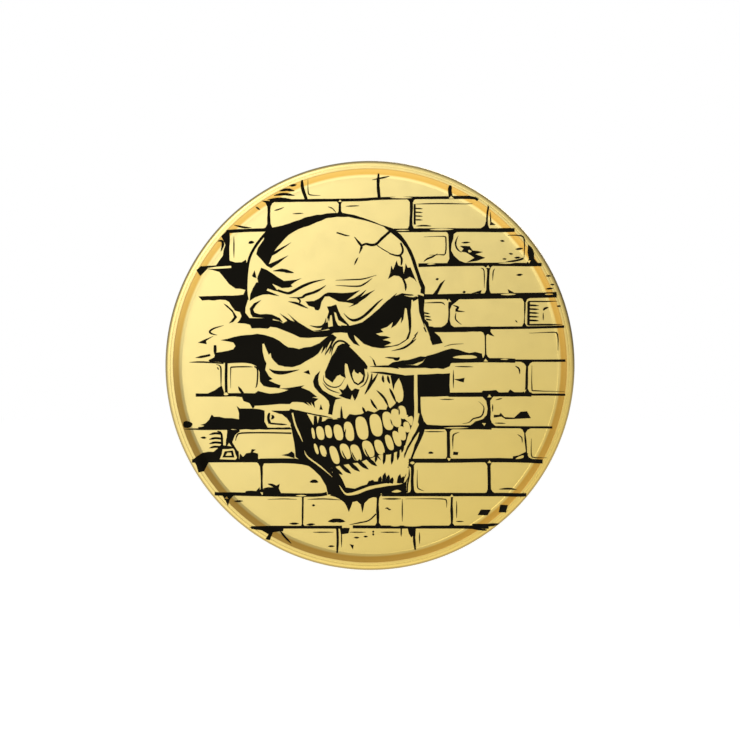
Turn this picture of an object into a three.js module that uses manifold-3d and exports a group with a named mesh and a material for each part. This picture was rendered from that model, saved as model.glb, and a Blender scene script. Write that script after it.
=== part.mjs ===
// Round enamel pin badge, worn upright: the face looks along -Y, the back along +Y and +Z is up.
// The origin is the centre of the back face. Sizes are in millimetres; left and right are the viewer's.
import * as THREE from 'three';
import { mergeVertices } from 'three/addons/utils/BufferGeometryUtils.js';
import Module from 'manifold-3d';

const wasm = await Module();
wasm.setup();

// Struck disc
const PIN_DIAMETER = 38;
const FIELD_THICKNESS = 1.5;
const RIM_RISE = 0.5;
const RIM_WIDTH = 1.5;
const RIM_CREST_WIDTH = 0.75;
const RIM_ROUND = 0.35;
const BACK_EDGE_ROUND = 0.3;
const BACK_BORDER_WIDTH = 1.3;
const BACK_RECESS_DEPTH = 0.08;
const BACK_LAND_DIAMETER = 7;
const DISC_SEGMENTS = 96;

// Posts and their solder
const POST_SPACING = 20;
const POST_HEIGHT_ABOVE_CENTRE = 3;
const POST_DIAMETER = 1.15;
const POST_LENGTH = 8;
const POST_TAPER_LENGTH = 1.3;
const POST_TIP_DIAMETER = 0.2;
const POST_GROOVE_DEPTH = 0.12;
const POST_GROOVE_WIDTH = 0.6;
const POST_PAD_DIAMETER = 4.8;
const POST_PAD_THICKNESS = 0.4;
const SOLDER_FILM = 0.06;
const SOLDER_FILLET = 0.45;
const POST_SEGMENTS = 24;

// Butterfly clutches
const GARMENT_GAP = 1.2;
const SHEET_GAUGE = 0.35;
const CUP_DIAMETER = 11.5;
const CUP_DEPTH = 1.15;
const CUP_EDGE_ROUND = 0.45;
const CUP_BEAD_RADIUS = 0.3;
const PIN_HOLE_CLEARANCE = 0.2;
const PIN_FUNNEL_WIDTH = 0.65;
const PIN_FUNNEL_DEPTH = 0.35;
const BRIDGE_RIM_CLEARANCE = 0.25;
const BRIDGE_WINDOW_HEIGHT = 4.2;
const CHEEK_HEIGHT = 1.9;
const CHEEK_LENGTH = 3.2;
const WING_WIDTH = 6;
const WING_SIDE_CLEARANCE = 0.12;
const JAW_CLEARANCE = 0.05;
const JAW_LIFT = 0.25;
const WING_PIVOT_RISE = 1.35;
const WING_SPREAD = 4.4;
const WING_RISE = 3.2;
const WING_CURL = 0.75;
const CLUTCH_SEGMENTS = 40;

// Enamel, drawn on a field of this diameter and scaled with the disc's own field
const DRAWN_FIELD_DIAMETER = 35;
const ENAMEL_THICKNESS = 0.08;
const ENAMEL_EDGE_MARGIN = 0.15;
const MORTAR_WIDTH = 0.36;
const COURSE_PITCH = 3.05;
const TOP_COURSE_LINE = 15.4;
const CURVE_STEPS = 3;
const OVAL_SEGMENTS = 8;

// Gap left between two pieces that touch
const CONTACT_GAP = 0.02;

const DISC_RADIUS = PIN_DIAMETER / 2;
const FIELD_RADIUS = DISC_RADIUS - RIM_WIDTH;
const ART_SCALE = (2 * FIELD_RADIUS) / DRAWN_FIELD_DIAMETER;
const FILL_LIMIT = DRAWN_FIELD_DIAMETER / 2 - ENAMEL_EDGE_MARGIN;
const POST_RADIUS = POST_DIAMETER / 2;
const PAD_RADIUS = POST_PAD_DIAMETER / 2;
const CUP_RADIUS = CUP_DIAMETER / 2;
const PAD_BASE = CONTACT_GAP - BACK_RECESS_DEPTH + SOLDER_FILM + CONTACT_GAP;

const goldPlate = { color: 0xe8d28a, roughness: 0.32, metalness: 0.9 };
const blackEnamel = { color: 0x0b0904, roughness: 0.35, metalness: 0 };
const nickelPlate = { color: 0xc9c6bd, roughness: 0.3, metalness: 0.95 };
const softSolder = { color: 0xb4b2ac, roughness: 0.5, metalness: 0.8 };
const springBrass = { color: 0xd8b866, roughness: 0.35, metalness: 0.9 };

// ---- Solids -------------------------------------------------------------------------------------------------

function toSolid(geometry) {
  const bare = geometry.clone();
  bare.deleteAttribute('normal');
  bare.deleteAttribute('uv');
  const merged = mergeVertices(bare, 1e-4);
  const vertProperties = new Float32Array(merged.attributes.position.array);
  const triVerts = new Uint32Array(merged.index.array);
  return new wasm.Manifold(new wasm.Mesh({ numProp: 3, vertProperties, triVerts }));
}

function toGeometry(solid) {
  const mesh = solid.getMesh();
  const geometry = new THREE.BufferGeometry();
  geometry.setAttribute('position', new THREE.BufferAttribute(new Float32Array(mesh.vertProperties), 3));
  geometry.setIndex(new THREE.BufferAttribute(new Uint32Array(mesh.triVerts), 1));
  const flat = geometry.toNonIndexed();
  flat.computeVertexNormals();
  return flat;
}

function piece(name, geometry, finish) {
  const mesh = new THREE.Mesh(geometry, new THREE.MeshStandardMaterial(finish));
  mesh.name = name;
  return mesh;
}

// A turned solid about the Y axis. The profile holds [radius, y] and runs out at low y and back at high y.
function turned(profile, segments) {
  return new THREE.LatheGeometry(profile.map(([r, y]) => new THREE.Vector2(r, y)), segments);
}

// Points of an arc in a profile, from one angle to another in degrees.
function arc(centreR, centreY, radius, from, to, steps = 5) {
  return Array.from({ length: steps + 1 }, (_, i) => {
    const angle = THREE.MathUtils.degToRad(from + ((to - from) * i) / steps);
    return [centreR + radius * Math.cos(angle), centreY + radius * Math.sin(angle)];
  });
}

function polygon(points) {
  return new THREE.Shape(points.map(([x, y]) => new THREE.Vector2(x, y)));
}

// A section in the Z-Y plane pressed to a width along X and centred on it.
function pressed(section, width) {
  const options = { depth: width, bevelEnabled: false, curveSegments: 4 };
  const geometry = new THREE.ExtrudeGeometry(section, options);
  return geometry.rotateY(-Math.PI / 2).translate(width / 2, 0, 0);
}

// ---- Disc, posts and solder ---------------------------------------------------------------------------------

function struckDisc() {
  const crest = FIELD_THICKNESS + RIM_RISE;
  const border = DISC_RADIUS - BACK_BORDER_WIDTH;
  const land = BACK_LAND_DIAMETER / 2;
  const profile = [
    [0, -FIELD_THICKNESS],
    [FIELD_RADIUS, -FIELD_THICKNESS],
    [DISC_RADIUS - RIM_CREST_WIDTH, -crest + 0.04],
    [DISC_RADIUS - RIM_CREST_WIDTH + 0.12, -crest],
    ...arc(DISC_RADIUS - RIM_ROUND, RIM_ROUND - crest, RIM_ROUND, -90, 0),
    ...arc(DISC_RADIUS - BACK_EDGE_ROUND, -BACK_EDGE_ROUND, BACK_EDGE_ROUND, 0, 90, 3),
    [border, 0],
    [border, -BACK_RECESS_DEPTH],
    [land, -BACK_RECESS_DEPTH],
    [land, 0],
    [0, 0],
  ];
  return turned(profile, DISC_SEGMENTS);
}

// Nail with a round pad; the clutch grips it at the groove behind the point.
function post() {
  const padTop = PAD_BASE + POST_PAD_THICKNESS;
  const tip = padTop + POST_LENGTH;
  const shoulder = tip - POST_TAPER_LENGTH;
  const neck = POST_RADIUS - POST_GROOVE_DEPTH;
  const grooveTop = shoulder - POST_GROOVE_WIDTH / 2;
  const grooveBottom = grooveTop - POST_GROOVE_WIDTH;
  const chamfer = 0.08;
  const profile = [
    [0, PAD_BASE],
    [PAD_RADIUS, PAD_BASE],
    [PAD_RADIUS, padTop - chamfer],
    [PAD_RADIUS - chamfer, padTop],
    [POST_RADIUS + POST_GROOVE_DEPTH, padTop],
    [POST_RADIUS, padTop + POST_GROOVE_DEPTH],
    [POST_RADIUS, grooveBottom],
    [neck, grooveBottom + POST_GROOVE_DEPTH],
    [neck, grooveTop - POST_GROOVE_DEPTH],
    [POST_RADIUS, grooveTop],
    [POST_RADIUS, shoulder],
    [POST_RADIUS * 0.72, shoulder + POST_TAPER_LENGTH * 0.5],
    [POST_TIP_DIAMETER / 2, tip],
    [0, tip],
  ];
  return turned(profile, POST_SEGMENTS);
}

// Thin bed under the pad with a fillet round its edge.
function solder() {
  const base = CONTACT_GAP - BACK_RECESS_DEPTH;
  const bedTop = base + SOLDER_FILM;
  const inner = PAD_RADIUS + CONTACT_GAP;
  const lip = PAD_BASE + POST_PAD_THICKNESS * 0.6;
  const profile = [
    [0, base],
    [inner + SOLDER_FILLET, base],
    [inner + SOLDER_FILLET * 0.4, base + (lip - base) * 0.35],
    [inner + SOLDER_FILLET * 0.12, lip],
    [inner, lip],
    [inner, bedTop],
    [0, bedTop],
  ];
  return turned(profile, POST_SEGMENTS);
}

// ---- Butterfly clutch ---------------------------------------------------------------------------------------

// Dished front plate with a funnel round the pin hole and a rolled edge.
function clutchCup() {
  const hole = POST_RADIUS + PIN_HOLE_CLEARANCE;
  const bead = CUP_RADIUS - CUP_BEAD_RADIUS;
  const wall = CUP_RADIUS - SHEET_GAUGE;
  const profile = [
    [hole, PIN_FUNNEL_DEPTH],
    [hole + PIN_FUNNEL_WIDTH, 0],
    ...arc(CUP_RADIUS - CUP_EDGE_ROUND, CUP_EDGE_ROUND, CUP_EDGE_ROUND, -90, 0, 3),
    ...arc(bead, CUP_DEPTH, CUP_BEAD_RADIUS, 0, 180, 6),
    [wall, CUP_DEPTH - CUP_BEAD_RADIUS * 1.2],
    [wall, SHEET_GAUGE + 0.2],
    [wall - 0.2, SHEET_GAUGE],
    [hole + PIN_FUNNEL_WIDTH, SHEET_GAUGE],
    [hole + 0.15, SHEET_GAUGE + PIN_FUNNEL_DEPTH],
    [hole, SHEET_GAUGE + PIN_FUNNEL_DEPTH],
    [hole, PIN_FUNNEL_DEPTH],
  ];
  return turned(profile, CLUTCH_SEGMENTS);
}

// Plate held under the rolled edge, with a window for the jaws and a cheek on each side of the wings.
function clutchBridge() {
  const outer = CUP_RADIUS - 2 * CUP_BEAD_RADIUS - BRIDGE_RIM_CLEARANCE;
  const cheekInside = WING_WIDTH / 2 + WING_SIDE_CLEARANCE;
  const plate = new THREE.Shape().absarc(0, 0, outer, 0, 2 * Math.PI);
  const halfHeight = BRIDGE_WINDOW_HEIGHT / 2;
  plate.holes.push(polygon([
    [-cheekInside, -halfHeight],
    [cheekInside, -halfHeight],
    [cheekInside, halfHeight],
    [-cheekInside, halfHeight],
  ]));
  const depth = { depth: SHEET_GAUGE, bevelEnabled: false, curveSegments: CLUTCH_SEGMENTS / 2 };
  const base = new THREE.ExtrudeGeometry(plate, depth).rotateX(-Math.PI / 2);
  let solid = toSolid(base);
  const rounding = 0.6;
  const half = CHEEK_LENGTH / 2;
  const section = new THREE.Shape();
  section.moveTo(-half, 0);
  section.lineTo(half, 0);
  section.lineTo(half, CHEEK_HEIGHT - rounding);
  section.absarc(half - rounding, CHEEK_HEIGHT - rounding, rounding, 0, Math.PI / 2);
  section.absarc(rounding - half, CHEEK_HEIGHT - rounding, rounding, Math.PI / 2, Math.PI);
  for (const side of [-1, 1]) {
    const cheek = pressed(section, SHEET_GAUGE).translate(side * (cheekInside + SHEET_GAUGE / 2), 0, 0);
    solid = solid.add(toSolid(cheek));
  }
  return toGeometry(solid).translate(0, SHEET_GAUGE + CONTACT_GAP, 0);
}

// The wing's middle line above the post, from the jaw by the fold to the curled tip, as [z, y].
function wingLine() {
  const jaw = POST_RADIUS + JAW_CLEARANCE + SHEET_GAUGE / 2;
  const jawBase = SHEET_GAUGE + PIN_FUNNEL_DEPTH + JAW_LIFT;
  const [foldZ, foldY] = wingPivot();
  const line = [
    [jaw, jawBase],
    [jaw + 0.04, jawBase + 0.4],
    [foldZ, foldY],
    [foldZ + WING_SPREAD * 0.22, foldY + WING_RISE * 0.45],
    [foldZ + WING_SPREAD * 0.52, foldY + WING_RISE * 0.82],
    [foldZ + WING_SPREAD * 0.84, foldY + WING_RISE],
    [foldZ + WING_SPREAD, foldY + WING_RISE - WING_CURL * 0.35],
    [foldZ + WING_SPREAD, foldY + WING_RISE - WING_CURL],
  ];
  const curve = new THREE.CatmullRomCurve3(line.map(([z, y]) => new THREE.Vector3(z, y, 0)), false, 'centripetal');
  return curve.getPoints(18).map((p) => [p.x, p.y]);
}

// Where a wing folds, in the clutch's own frame, as [z, y].
function wingPivot() {
  const jaw = POST_RADIUS + JAW_CLEARANCE + SHEET_GAUGE / 2;
  return [jaw + 0.3, SHEET_GAUGE + PIN_FUNNEL_DEPTH + WING_PIVOT_RISE];
}

// A sheet strip of even gauge along a line, as a closed section.
function stripSection(line, gauge) {
  const sides = [[], []];
  line.forEach(([x, y], i) => {
    const [ax, ay] = line[Math.max(i - 1, 0)];
    const [bx, by] = line[Math.min(i + 1, line.length - 1)];
    const length = Math.hypot(bx - ax, by - ay);
    const nx = (-(by - ay) / length) * (gauge / 2);
    const ny = ((bx - ax) / length) * (gauge / 2);
    sides[0].push([x - nx, y - ny]);
    sides[1].push([x + nx, y + ny]);
  });
  return polygon([...sides[0], ...sides[1].reverse()]);
}

function clutchWing() {
  return pressed(stripSection(wingLine(), SHEET_GAUGE), WING_WIDTH);
}

function clutch(side) {
  const group = new THREE.Group();
  group.add(piece(`${side}_clutch_cup`, clutchCup(), springBrass));
  group.add(piece(`${side}_clutch_bridge`, clutchBridge(), springBrass));
  group.add(piece(`${side}_clutch_upper_wing`, clutchWing(), springBrass));
  const lower = piece(`${side}_clutch_lower_wing`, clutchWing(), springBrass);
  lower.rotation.y = Math.PI;
  group.add(lower);
  return group;
}

// ---- Enamel drawing helpers ---------------------------------------------------------------------------------

// A closed outline that runs smoothly through its points, given as [x, z].
function rounded(points) {
  const line = points.map(([x, z]) => new THREE.Vector3(x, z, 0));
  const curve = new THREE.CatmullRomCurve3(line, true, 'centripetal');
  return polygon(curve.getPoints(points.length * CURVE_STEPS).slice(0, -1).map((p) => [p.x, p.y]));
}

// A straight bar of mortar from one point to another.
function bar(ax, az, bx, bz, width = MORTAR_WIDTH) {
  return stripSection([[ax, az], [bx, bz]], width);
}

// A line through several points, as one bar for each stretch with its corners overlapping.
function ribbon(points, width) {
  return points.slice(1).map(([x, z], i) => {
    const [ax, az] = points[i];
    const over = width / 2 / Math.hypot(x - ax, z - az);
    return bar(ax - (x - ax) * over, az - (z - az) * over, x + (x - ax) * over, z + (z - az) * over, width);
  });
}

function oval(x, z, halfWidth, halfHeight, lean = 0) {
  const shape = new THREE.Shape();
  shape.absellipse(x, z, halfWidth, halfHeight, 0, 2 * Math.PI, false, THREE.MathUtils.degToRad(-lean));
  return shape;
}

function extruded(shape, bottom, top) {
  const options = { depth: top - bottom, bevelEnabled: false, curveSegments: OVAL_SEGMENTS };
  return toSolid(new THREE.ExtrudeGeometry(shape, options).translate(0, 0, bottom));
}

// One closed fill of enamel: the filled shapes, less the metal that shows through, inside the field.
function enamel(filled, bare = []) {
  let solid = extruded(filled[0], 0, ENAMEL_THICKNESS);
  for (const shape of filled.slice(1)) {
    solid = solid.add(extruded(shape, 0, ENAMEL_THICKNESS));
  }
  for (const shape of bare) {
    solid = solid.subtract(extruded(shape, -ENAMEL_THICKNESS, 2 * ENAMEL_THICKNESS));
  }
  const field = new THREE.CylinderGeometry(FILL_LIMIT, FILL_LIMIT, 4 * ENAMEL_THICKNESS, DISC_SEGMENTS);
  solid = solid.intersect(toSolid(field.rotateX(Math.PI / 2)));
  const geometry = toGeometry(solid).scale(ART_SCALE, ART_SCALE, 1);
  return geometry.rotateX(Math.PI / 2);
}

const courseLine = (course) => TOP_COURSE_LINE - course * COURSE_PITCH;

// Bed joints: each course line from one x to another.
function bedJoints(runs) {
  return runs.map(([course, from, to]) => bar(from, courseLine(course), to, courseLine(course)));
}

// Head joints: upright bars through one course, at each x.
function headJoints(courses) {
  return courses.flatMap(([course, ...places]) =>
    places.map((x) => bar(x, courseLine(course), x, courseLine(course - 1))));
}

// ---- Enamel fills -------------------------------------------------------------------------------------------

// The cranium, jaw and breach that the mortar stops at.
const skullOutline = () => rounded([
  [-11.6, 6.4], [-11.3, 9.8], [-9.6, 12.6], [-6.3, 14], [-3, 14.5], [0.2, 13.8], [3, 12.5], [4.7, 9.7],
  [5.5, 6.8], [6.2, 3], [6.6, 0.6], [7.7, 0.3], [7.7, -3], [5.1, -3.2], [5.2, -6], [4.2, -9], [3.9, -11.7],
  [0, -12], [-3.5, -12.1], [-4.4, -11], [-6.4, -8.4], [-7.6, -6], [-10, -5.6], [-12.2, -4.4], [-13.8, 0.8],
  [-14, 3], [-12.3, 4.6],
]);

function mortarTop() {
  const uprights = headJoints([[0, -6.2, 0.8], [1, -2.85]]);
  return enamel([...bedJoints([[0, -10, 3.4]]), ...uprights], [skullOutline()]);
}

function mortarRight() {
  const runs = [[0, 3.6, 12], [1, 2, 16], [2, 4, 16.5], [3, 4, 17.5], [4, 5, 18], [5, 6, 18], [6, 7, 18],
    [7, 4.5, 18], [8, 3.8, 18]];
  const uprights = [[1, 3.9, 10.9], [2, 7.4, 14.5], [3, 10.9], [4, 7.4, 14.3], [5, 10.7], [6, 7.9, 14.6],
    [7, 11], [8, 7.3, 14.6]];
  const foot = [4.1, 11.1].map((x) => bar(x, courseLine(8), x, courseLine(9) + MORTAR_WIDTH));
  const comb = [0, 1, 2, 3].map((i) => bar(14.3, 4.2 + i * 0.45, 15.6, 4.2 + i * 0.45, 0.15));
  return enamel([...bedJoints(runs), ...headJoints(uprights), bar(7.4, courseLine(0), 7.4, 17), ...foot, ...comb],
    [skullOutline()]);
}

function mortarBottom() {
  const runs = [[9, -16, 16], [10, -12, 11.5]];
  const uprights = [[10, -13, -6.3, 0.7, 3, 7.6], [11, -3, 4.1]];
  const chips = [
    polygon([[-9.6, -14.8], [-8, -14.8], [-7.4, -16.4], [-8.2, -15.6], [-9.2, -16.2]]),
    polygon([[-2.7, -14.9], [-1.9, -14.9], [-2, -15.7], [-2.6, -15.6]]),
    polygon([[3.3, -14.9], [4.2, -14.9], [4, -15.8], [3.7, -16]]),
  ];
  return enamel([...bedJoints(runs), ...headJoints(uprights), ...chips]);
}

// The broken edge of the wall beside the temple, with the mortar that runs into it.
function breachUpperLeft() {
  const shade = polygon([
    [-14.4, 8.9], [-11.9, 9.4], [-11.8, 5], [-12.2, 4.6], [-12.6, 5.6], [-13.1, 6.4], [-12, 7], [-13, 7.6],
    [-13.6, 8.3],
  ]);
  const runs = bedJoints([[2, -16.4, -12.1], [3, -16.2, -12.4]]);
  return enamel([shade, ...runs, ...headJoints([[2, -13]])]);
}

// The broken edge of the wall beside the cheek.
function breachLeft() {
  const shade = polygon([
    [-14.3, 1.2], [-12.8, 1.5], [-12.6, 2], [-13.9, 2.4], [-12, 2.8], [-10.7, 2.7], [-10.4, 1], [-10.5, -1.5],
    [-10.7, -3.4], [-10.3, -4.2], [-10.3, -6], [-14.8, -6], [-14.6, -4.8], [-12.2, -5], [-12.1, -3.8],
    [-11.5, -3.4], [-11.2, -2.6], [-11, -0.4], [-11.4, 0.3], [-14.3, 0.6],
  ]);
  const runs = bedJoints([[5, -16.6, -11.2], [6, -16.2, -11], [7, -17, -12]]);
  return enamel([shade, ...runs, ...headJoints([[6, -13.5]])]);
}

// The shadow between the left of the jaw and the wall, and the courses beside it.
function breachLowerLeft() {
  const shade = rounded([
    [-9.9, -6.4], [-8, -6.2], [-7, -4.4], [-6.5, -6], [-5.9, -8], [-4.6, -9.6], [-3.4, -10.6], [-3.1, -11.4],
    [-4, -11.4], [-4.7, -9.9], [-5.9, -8.6], [-6.9, -8.3], [-7.2, -6.9], [-9, -6.6],
  ]);
  const runs = bedJoints([[8, -16.4, -5.2]]);
  const uprights = [bar(-10, courseLine(8), -10, -11.4), bar(-12.7, courseLine(8), -12.7, -6.4)];
  const splash = polygon([[-16.2, -8.6], [-14.6, -7.7], [-13.8, -8.9], [-15.4, -9.7]]);
  return enamel([shade, ...runs, ...uprights, splash]);
}

function breachRight() {
  return enamel([
    polygon([[4.8, -0.9], [7.3, -0.7], [7.3, -2.8], [4.7, -2.9]]),
    ...ribbon([[4.9, -1], [4.75, -4.6], [4.2, -7.6], [3.8, -9.6]], 0.35),
  ]);
}

function craniumLine() {
  return enamel([rounded([
    [-11.3, 7.4], [-11, 9.4], [-9.4, 12.2], [-6.2, 13.6], [-3, 14.1], [0.1, 13.4], [2.8, 12.1], [4.4, 9.4],
    [5.1, 7], [4.6, 6.8], [3.8, 9.6], [2.6, 11.6], [0, 13], [-3, 13.7], [-6.1, 12.8], [-8.6, 11], [-9.3, 9.4],
    [-8.2, 7.6], [-9.4, 7],
  ])]);
}

function browFurrow() {
  const furrows = [
    ...ribbon([[-8.6, 6.5], [-7.4, 6.2], [-5.9, 5.6]], 0.22),
    ...ribbon([[-2.2, 6.6], [-0.6, 7.2], [1, 8.1]], 0.22),
  ];
  const frown = rounded([
    [-6, 5.9], [-5, 6], [-3.9, 6.8], [-2.4, 6.7], [-0.8, 7.1], [0.4, 7.7], [-0.9, 6.5], [-2.2, 5.9], [-3.6, 6.3],
    [-4.3, 6.1], [-4.8, 5.2], [-5.4, 5.4],
  ]);
  return enamel([frown, ...furrows]);
}

function leftSocket() {
  const socket = rounded([
    [-11.2, 4.5], [-9.6, 5], [-8, 4.7], [-6.4, 3.8], [-5, 3.2], [-3.9, 3.5], [-3.6, 2.8], [-4.6, 1.2],
    [-5.8, 0.4], [-7.5, 0], [-9.1, 0.6], [-9.9, 2],
  ]);
  const cloudBand = rounded([
    [-12, 3.3], [-9.2, 3.5], [-7.6, 2.9], [-6.2, 2.5], [-4.3, 2.8], [-5, 1.9], [-6.6, 1.6], [-8.1, 2], [-9.2, 2.7],
    [-12, 2.9],
  ]);
  const temple = rounded([[-10.9, 4.9], [-10.7, 5.3], [-9.5, 5.5], [-9, 5.2], [-9.8, 4.8]]);
  return enamel([socket, temple], [cloudBand]);
}

function rightSocket() {
  const socket = rounded([
    [-2, 3.7], [-0.8, 4.5], [0.6, 5.5], [2, 6.3], [3.2, 6.6], [4.3, 6.4], [3.6, 5], [3.7, 3.3], [3, 2.2],
    [1.2, 1.6], [-0.4, 2], [-1.4, 2.8],
  ]);
  const flare = polygon([[0.7, 3], [1.9, 3.2], [1.1, 3.4], [2.2, 4], [2.9, 4.5], [3.3, 5.2], [3.35, 2.9], [1.4, 2.3],
    [2, 2.7]]);
  return enamel([socket], [flare]);
}

function noseHole() {
  const hole = rounded([
    [-2.9, 1.9], [-2.1, 1.3], [-1, 0.3], [-0.3, -0.6], [-0.6, -1.4], [-1.3, -1.8], [-2.2, -1.2], [-3, -1.7],
    [-4, -1.2], [-3.8, -0.4], [-3.4, 0.9],
  ]);
  return enamel([hole], [polygon([[-2.35, 0], [-2.15, -1.7], [-1.9, -1.7]])]);
}

function cheekbone() {
  return enamel([
    rounded([[1.8, 0.2], [3.6, 0.7], [5, 0.8], [6.4, 1.1], [7.4, 0.9], [6.2, 0.4], [5, -0.3], [3.2, -0.1]]),
  ]);
}

// The dark between the teeth, with each tooth left as bare metal. The mouth leans with the skull.
function teeth(level, halfHeight, sizes, outline) {
  const rise = 0.16;
  let x = sizes.start;
  const bare = sizes.widths.map((width) => {
    const centre = x + width / 2;
    x += width + sizes.gap;
    return oval(centre, level + rise * centre, width / 2, halfHeight, sizes.lean);
  });
  return enamel([outline], bare);
}

function upperTeeth() {
  const sizes = { start: -5.3, gap: 0.16, lean: 4, widths: [0.8, 0.75, 0.95, 1.1, 1.25, 1.2, 0.95, 0.75] };
  const outline = rounded([[-5.7, -5.3], [-4, -4.7], [-2, -4.6], [0, -4.1], [2, -3.6], [3.7, -4.1], [3.6, -5.7],
    [2, -6.2], [0, -6.9], [-2.4, -7.25], [-4.6, -7.1], [-5.6, -6.6]]);
  return teeth(-5.5, 0.95, sizes, outline);
}

function lowerTeeth() {
  const sizes = { start: -4.9, gap: 0.16, lean: -12, widths: [0.75, 0.8, 0.9, 0.95, 0.95, 0.9, 0.75, 0.65] };
  const outline = rounded([[-5.3, -7.4], [-3, -7.4], [0, -7], [2.3, -6.35], [3.3, -6.1], [3.1, -7.6], [1.8, -8.5],
    [-0.4, -9.1], [-2.6, -9.5], [-4.4, -9.3]]);
  return teeth(-8.05, 0.85, sizes, outline);
}

function chinLine() {
  return enamel([
    ...ribbon([[-2.7, -11.1], [-1.8, -11.6], [0, -11.2], [2.2, -10.9], [3.2, -10.5], [3.4, -9.2]], 0.32),
    polygon([[1, -11], [1.3, -10.2], [1.7, -10.5], [2.2, -10.3], [2.6, -11]]),
  ]);
}

function foreheadCrack() {
  return enamel([
    ...ribbon([[-3, 12.3], [-1.7, 12], [-0.8, 11.1], [0.6, 11.2], [1.5, 12.1]], 0.16),
    ...ribbon([[-0.8, 11.1], [-1.3, 9.8]], 0.16),
    ...ribbon([[0.6, 11.2], [2.2, 10.3], [2.8, 9.9]], 0.16),
  ]);
}

const enamelFills = {
  enamel_mortar_top: mortarTop,
  enamel_mortar_right: mortarRight,
  enamel_mortar_bottom: mortarBottom,
  enamel_breach_upper_left: breachUpperLeft,
  enamel_breach_left: breachLeft,
  enamel_breach_lower_left: breachLowerLeft,
  enamel_breach_right: breachRight,
  enamel_cranium: craniumLine,
  enamel_brow: browFurrow,
  enamel_left_socket: leftSocket,
  enamel_right_socket: rightSocket,
  enamel_nose: noseHole,
  enamel_cheekbone: cheekbone,
  enamel_upper_teeth: upperTeeth,
  enamel_lower_teeth: lowerTeeth,
  enamel_chin: chinLine,
  enamel_forehead_crack: foreheadCrack,
};

// ---- Assembly -----------------------------------------------------------------------------------------------

const badge = new THREE.Group();
badge.add(piece('struck_disc', struckDisc(), goldPlate));

const face = new THREE.Group();
face.position.y = -(FIELD_THICKNESS + CONTACT_GAP);
for (const [name, draw] of Object.entries(enamelFills)) {
  face.add(piece(name, draw(), blackEnamel));
}
badge.add(face);

for (const [side, direction] of [['left', -1], ['right', 1]]) {
  const station = new THREE.Group();
  station.position.set((direction * POST_SPACING) / 2, 0, POST_HEIGHT_ABOVE_CENTRE);
  station.add(piece(`${side}_post`, post(), nickelPlate));
  station.add(piece(`${side}_solder`, solder(), softSolder));
  const fastener = clutch(side);
  fastener.position.y = GARMENT_GAP;
  station.add(fastener);
  badge.add(station);
}

export default badge;
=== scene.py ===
"""Round enamel pin badge with two posts and butterfly clutches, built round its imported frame.

The badge faces -Y, its back is +Y and +Z is up as it is worn. Sizes are in millimetres until a mesh is
made, because a pin maker works in them; a finished mesh is in metres.
"""
import math
from collections import Counter

import bmesh
import bpy
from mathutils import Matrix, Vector
from mathutils.geometry import delaunay_2d_cdt


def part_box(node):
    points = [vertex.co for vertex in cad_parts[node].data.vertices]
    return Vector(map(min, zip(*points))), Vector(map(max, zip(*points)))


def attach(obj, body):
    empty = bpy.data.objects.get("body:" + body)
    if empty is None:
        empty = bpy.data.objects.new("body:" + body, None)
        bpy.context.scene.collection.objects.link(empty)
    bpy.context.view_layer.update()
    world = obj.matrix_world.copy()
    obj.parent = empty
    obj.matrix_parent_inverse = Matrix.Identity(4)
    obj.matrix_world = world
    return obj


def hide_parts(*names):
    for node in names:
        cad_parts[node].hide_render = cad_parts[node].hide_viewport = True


bl_info = {
    "name": "Enamel Pin",
    "version": (1, 0, 0),
    "blender": (4, 5, 0),
    "location": "View3D > Sidebar > Pin",
    "description": "Builds a round enamel pin with its posts and butterfly clutches",
    "category": "Object",
}

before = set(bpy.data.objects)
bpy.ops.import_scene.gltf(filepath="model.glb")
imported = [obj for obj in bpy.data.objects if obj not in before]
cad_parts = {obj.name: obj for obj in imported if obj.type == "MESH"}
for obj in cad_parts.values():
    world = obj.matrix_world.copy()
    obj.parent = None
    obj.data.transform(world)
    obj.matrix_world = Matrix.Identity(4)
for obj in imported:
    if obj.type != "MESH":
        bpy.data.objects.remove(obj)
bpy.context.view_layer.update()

MM = 0.001
SIDES = ("left", "right")
BADGE = "badge"


def box(node):
    """Lowest and highest corner of a frame node, in millimetres."""
    low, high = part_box(node)
    return low / MM, high / MM


DISC_LOW, DISC_HIGH = box("struck_disc")
DISC_RADIUS = (DISC_HIGH.x - DISC_LOW.x) / 2
CREST_Y = DISC_LOW.y
FIELD_Y = box("enamel_nose")[1].y + 0.02
POST_LOW, POST_HIGH = box("left_post")
POST_PAD_RADIUS = (POST_HIGH.x - POST_LOW.x) / 2
SOLDER_LOW, SOLDER_HIGH = box("left_solder")
CUP_LOW, CUP_HIGH = box("left_clutch_cup")
CUP_RADIUS = (CUP_HIGH.x - CUP_LOW.x) / 2
BRIDGE_LOW, BRIDGE_HIGH = box("left_clutch_bridge")
WING_LOW, WING_HIGH = box("left_clutch_upper_wing")
POST_CENTRES = {side: (box(f"{side}_post")[0] + box(f"{side}_post")[1]) / 2 for side in SIDES}


# ---- Sizes and colours a user can change --------------------------------------------------------------------

def length(name, description, default, low=0.0, high=50.0):
    """A size in millimetres."""
    return bpy.props.FloatProperty(name=name, description=description, default=default, min=low, max=high)


def colour(name, description, hex_value):
    """A paint or plating colour, given as sRGB hex."""
    return bpy.props.FloatVectorProperty(
        name=name, description=description, subtype="COLOR", size=3, min=0, max=1, default=linear(hex_value)
    )


def linear(hex_value):
    """An sRGB hex colour as linear red, green and blue."""
    channels = [int(hex_value[i:i + 2], 16) / 255 for i in (1, 3, 5)]
    return tuple(c / 12.92 if c <= 0.04045 else ((c + 0.055) / 1.055) ** 2.4 for c in channels)


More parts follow.
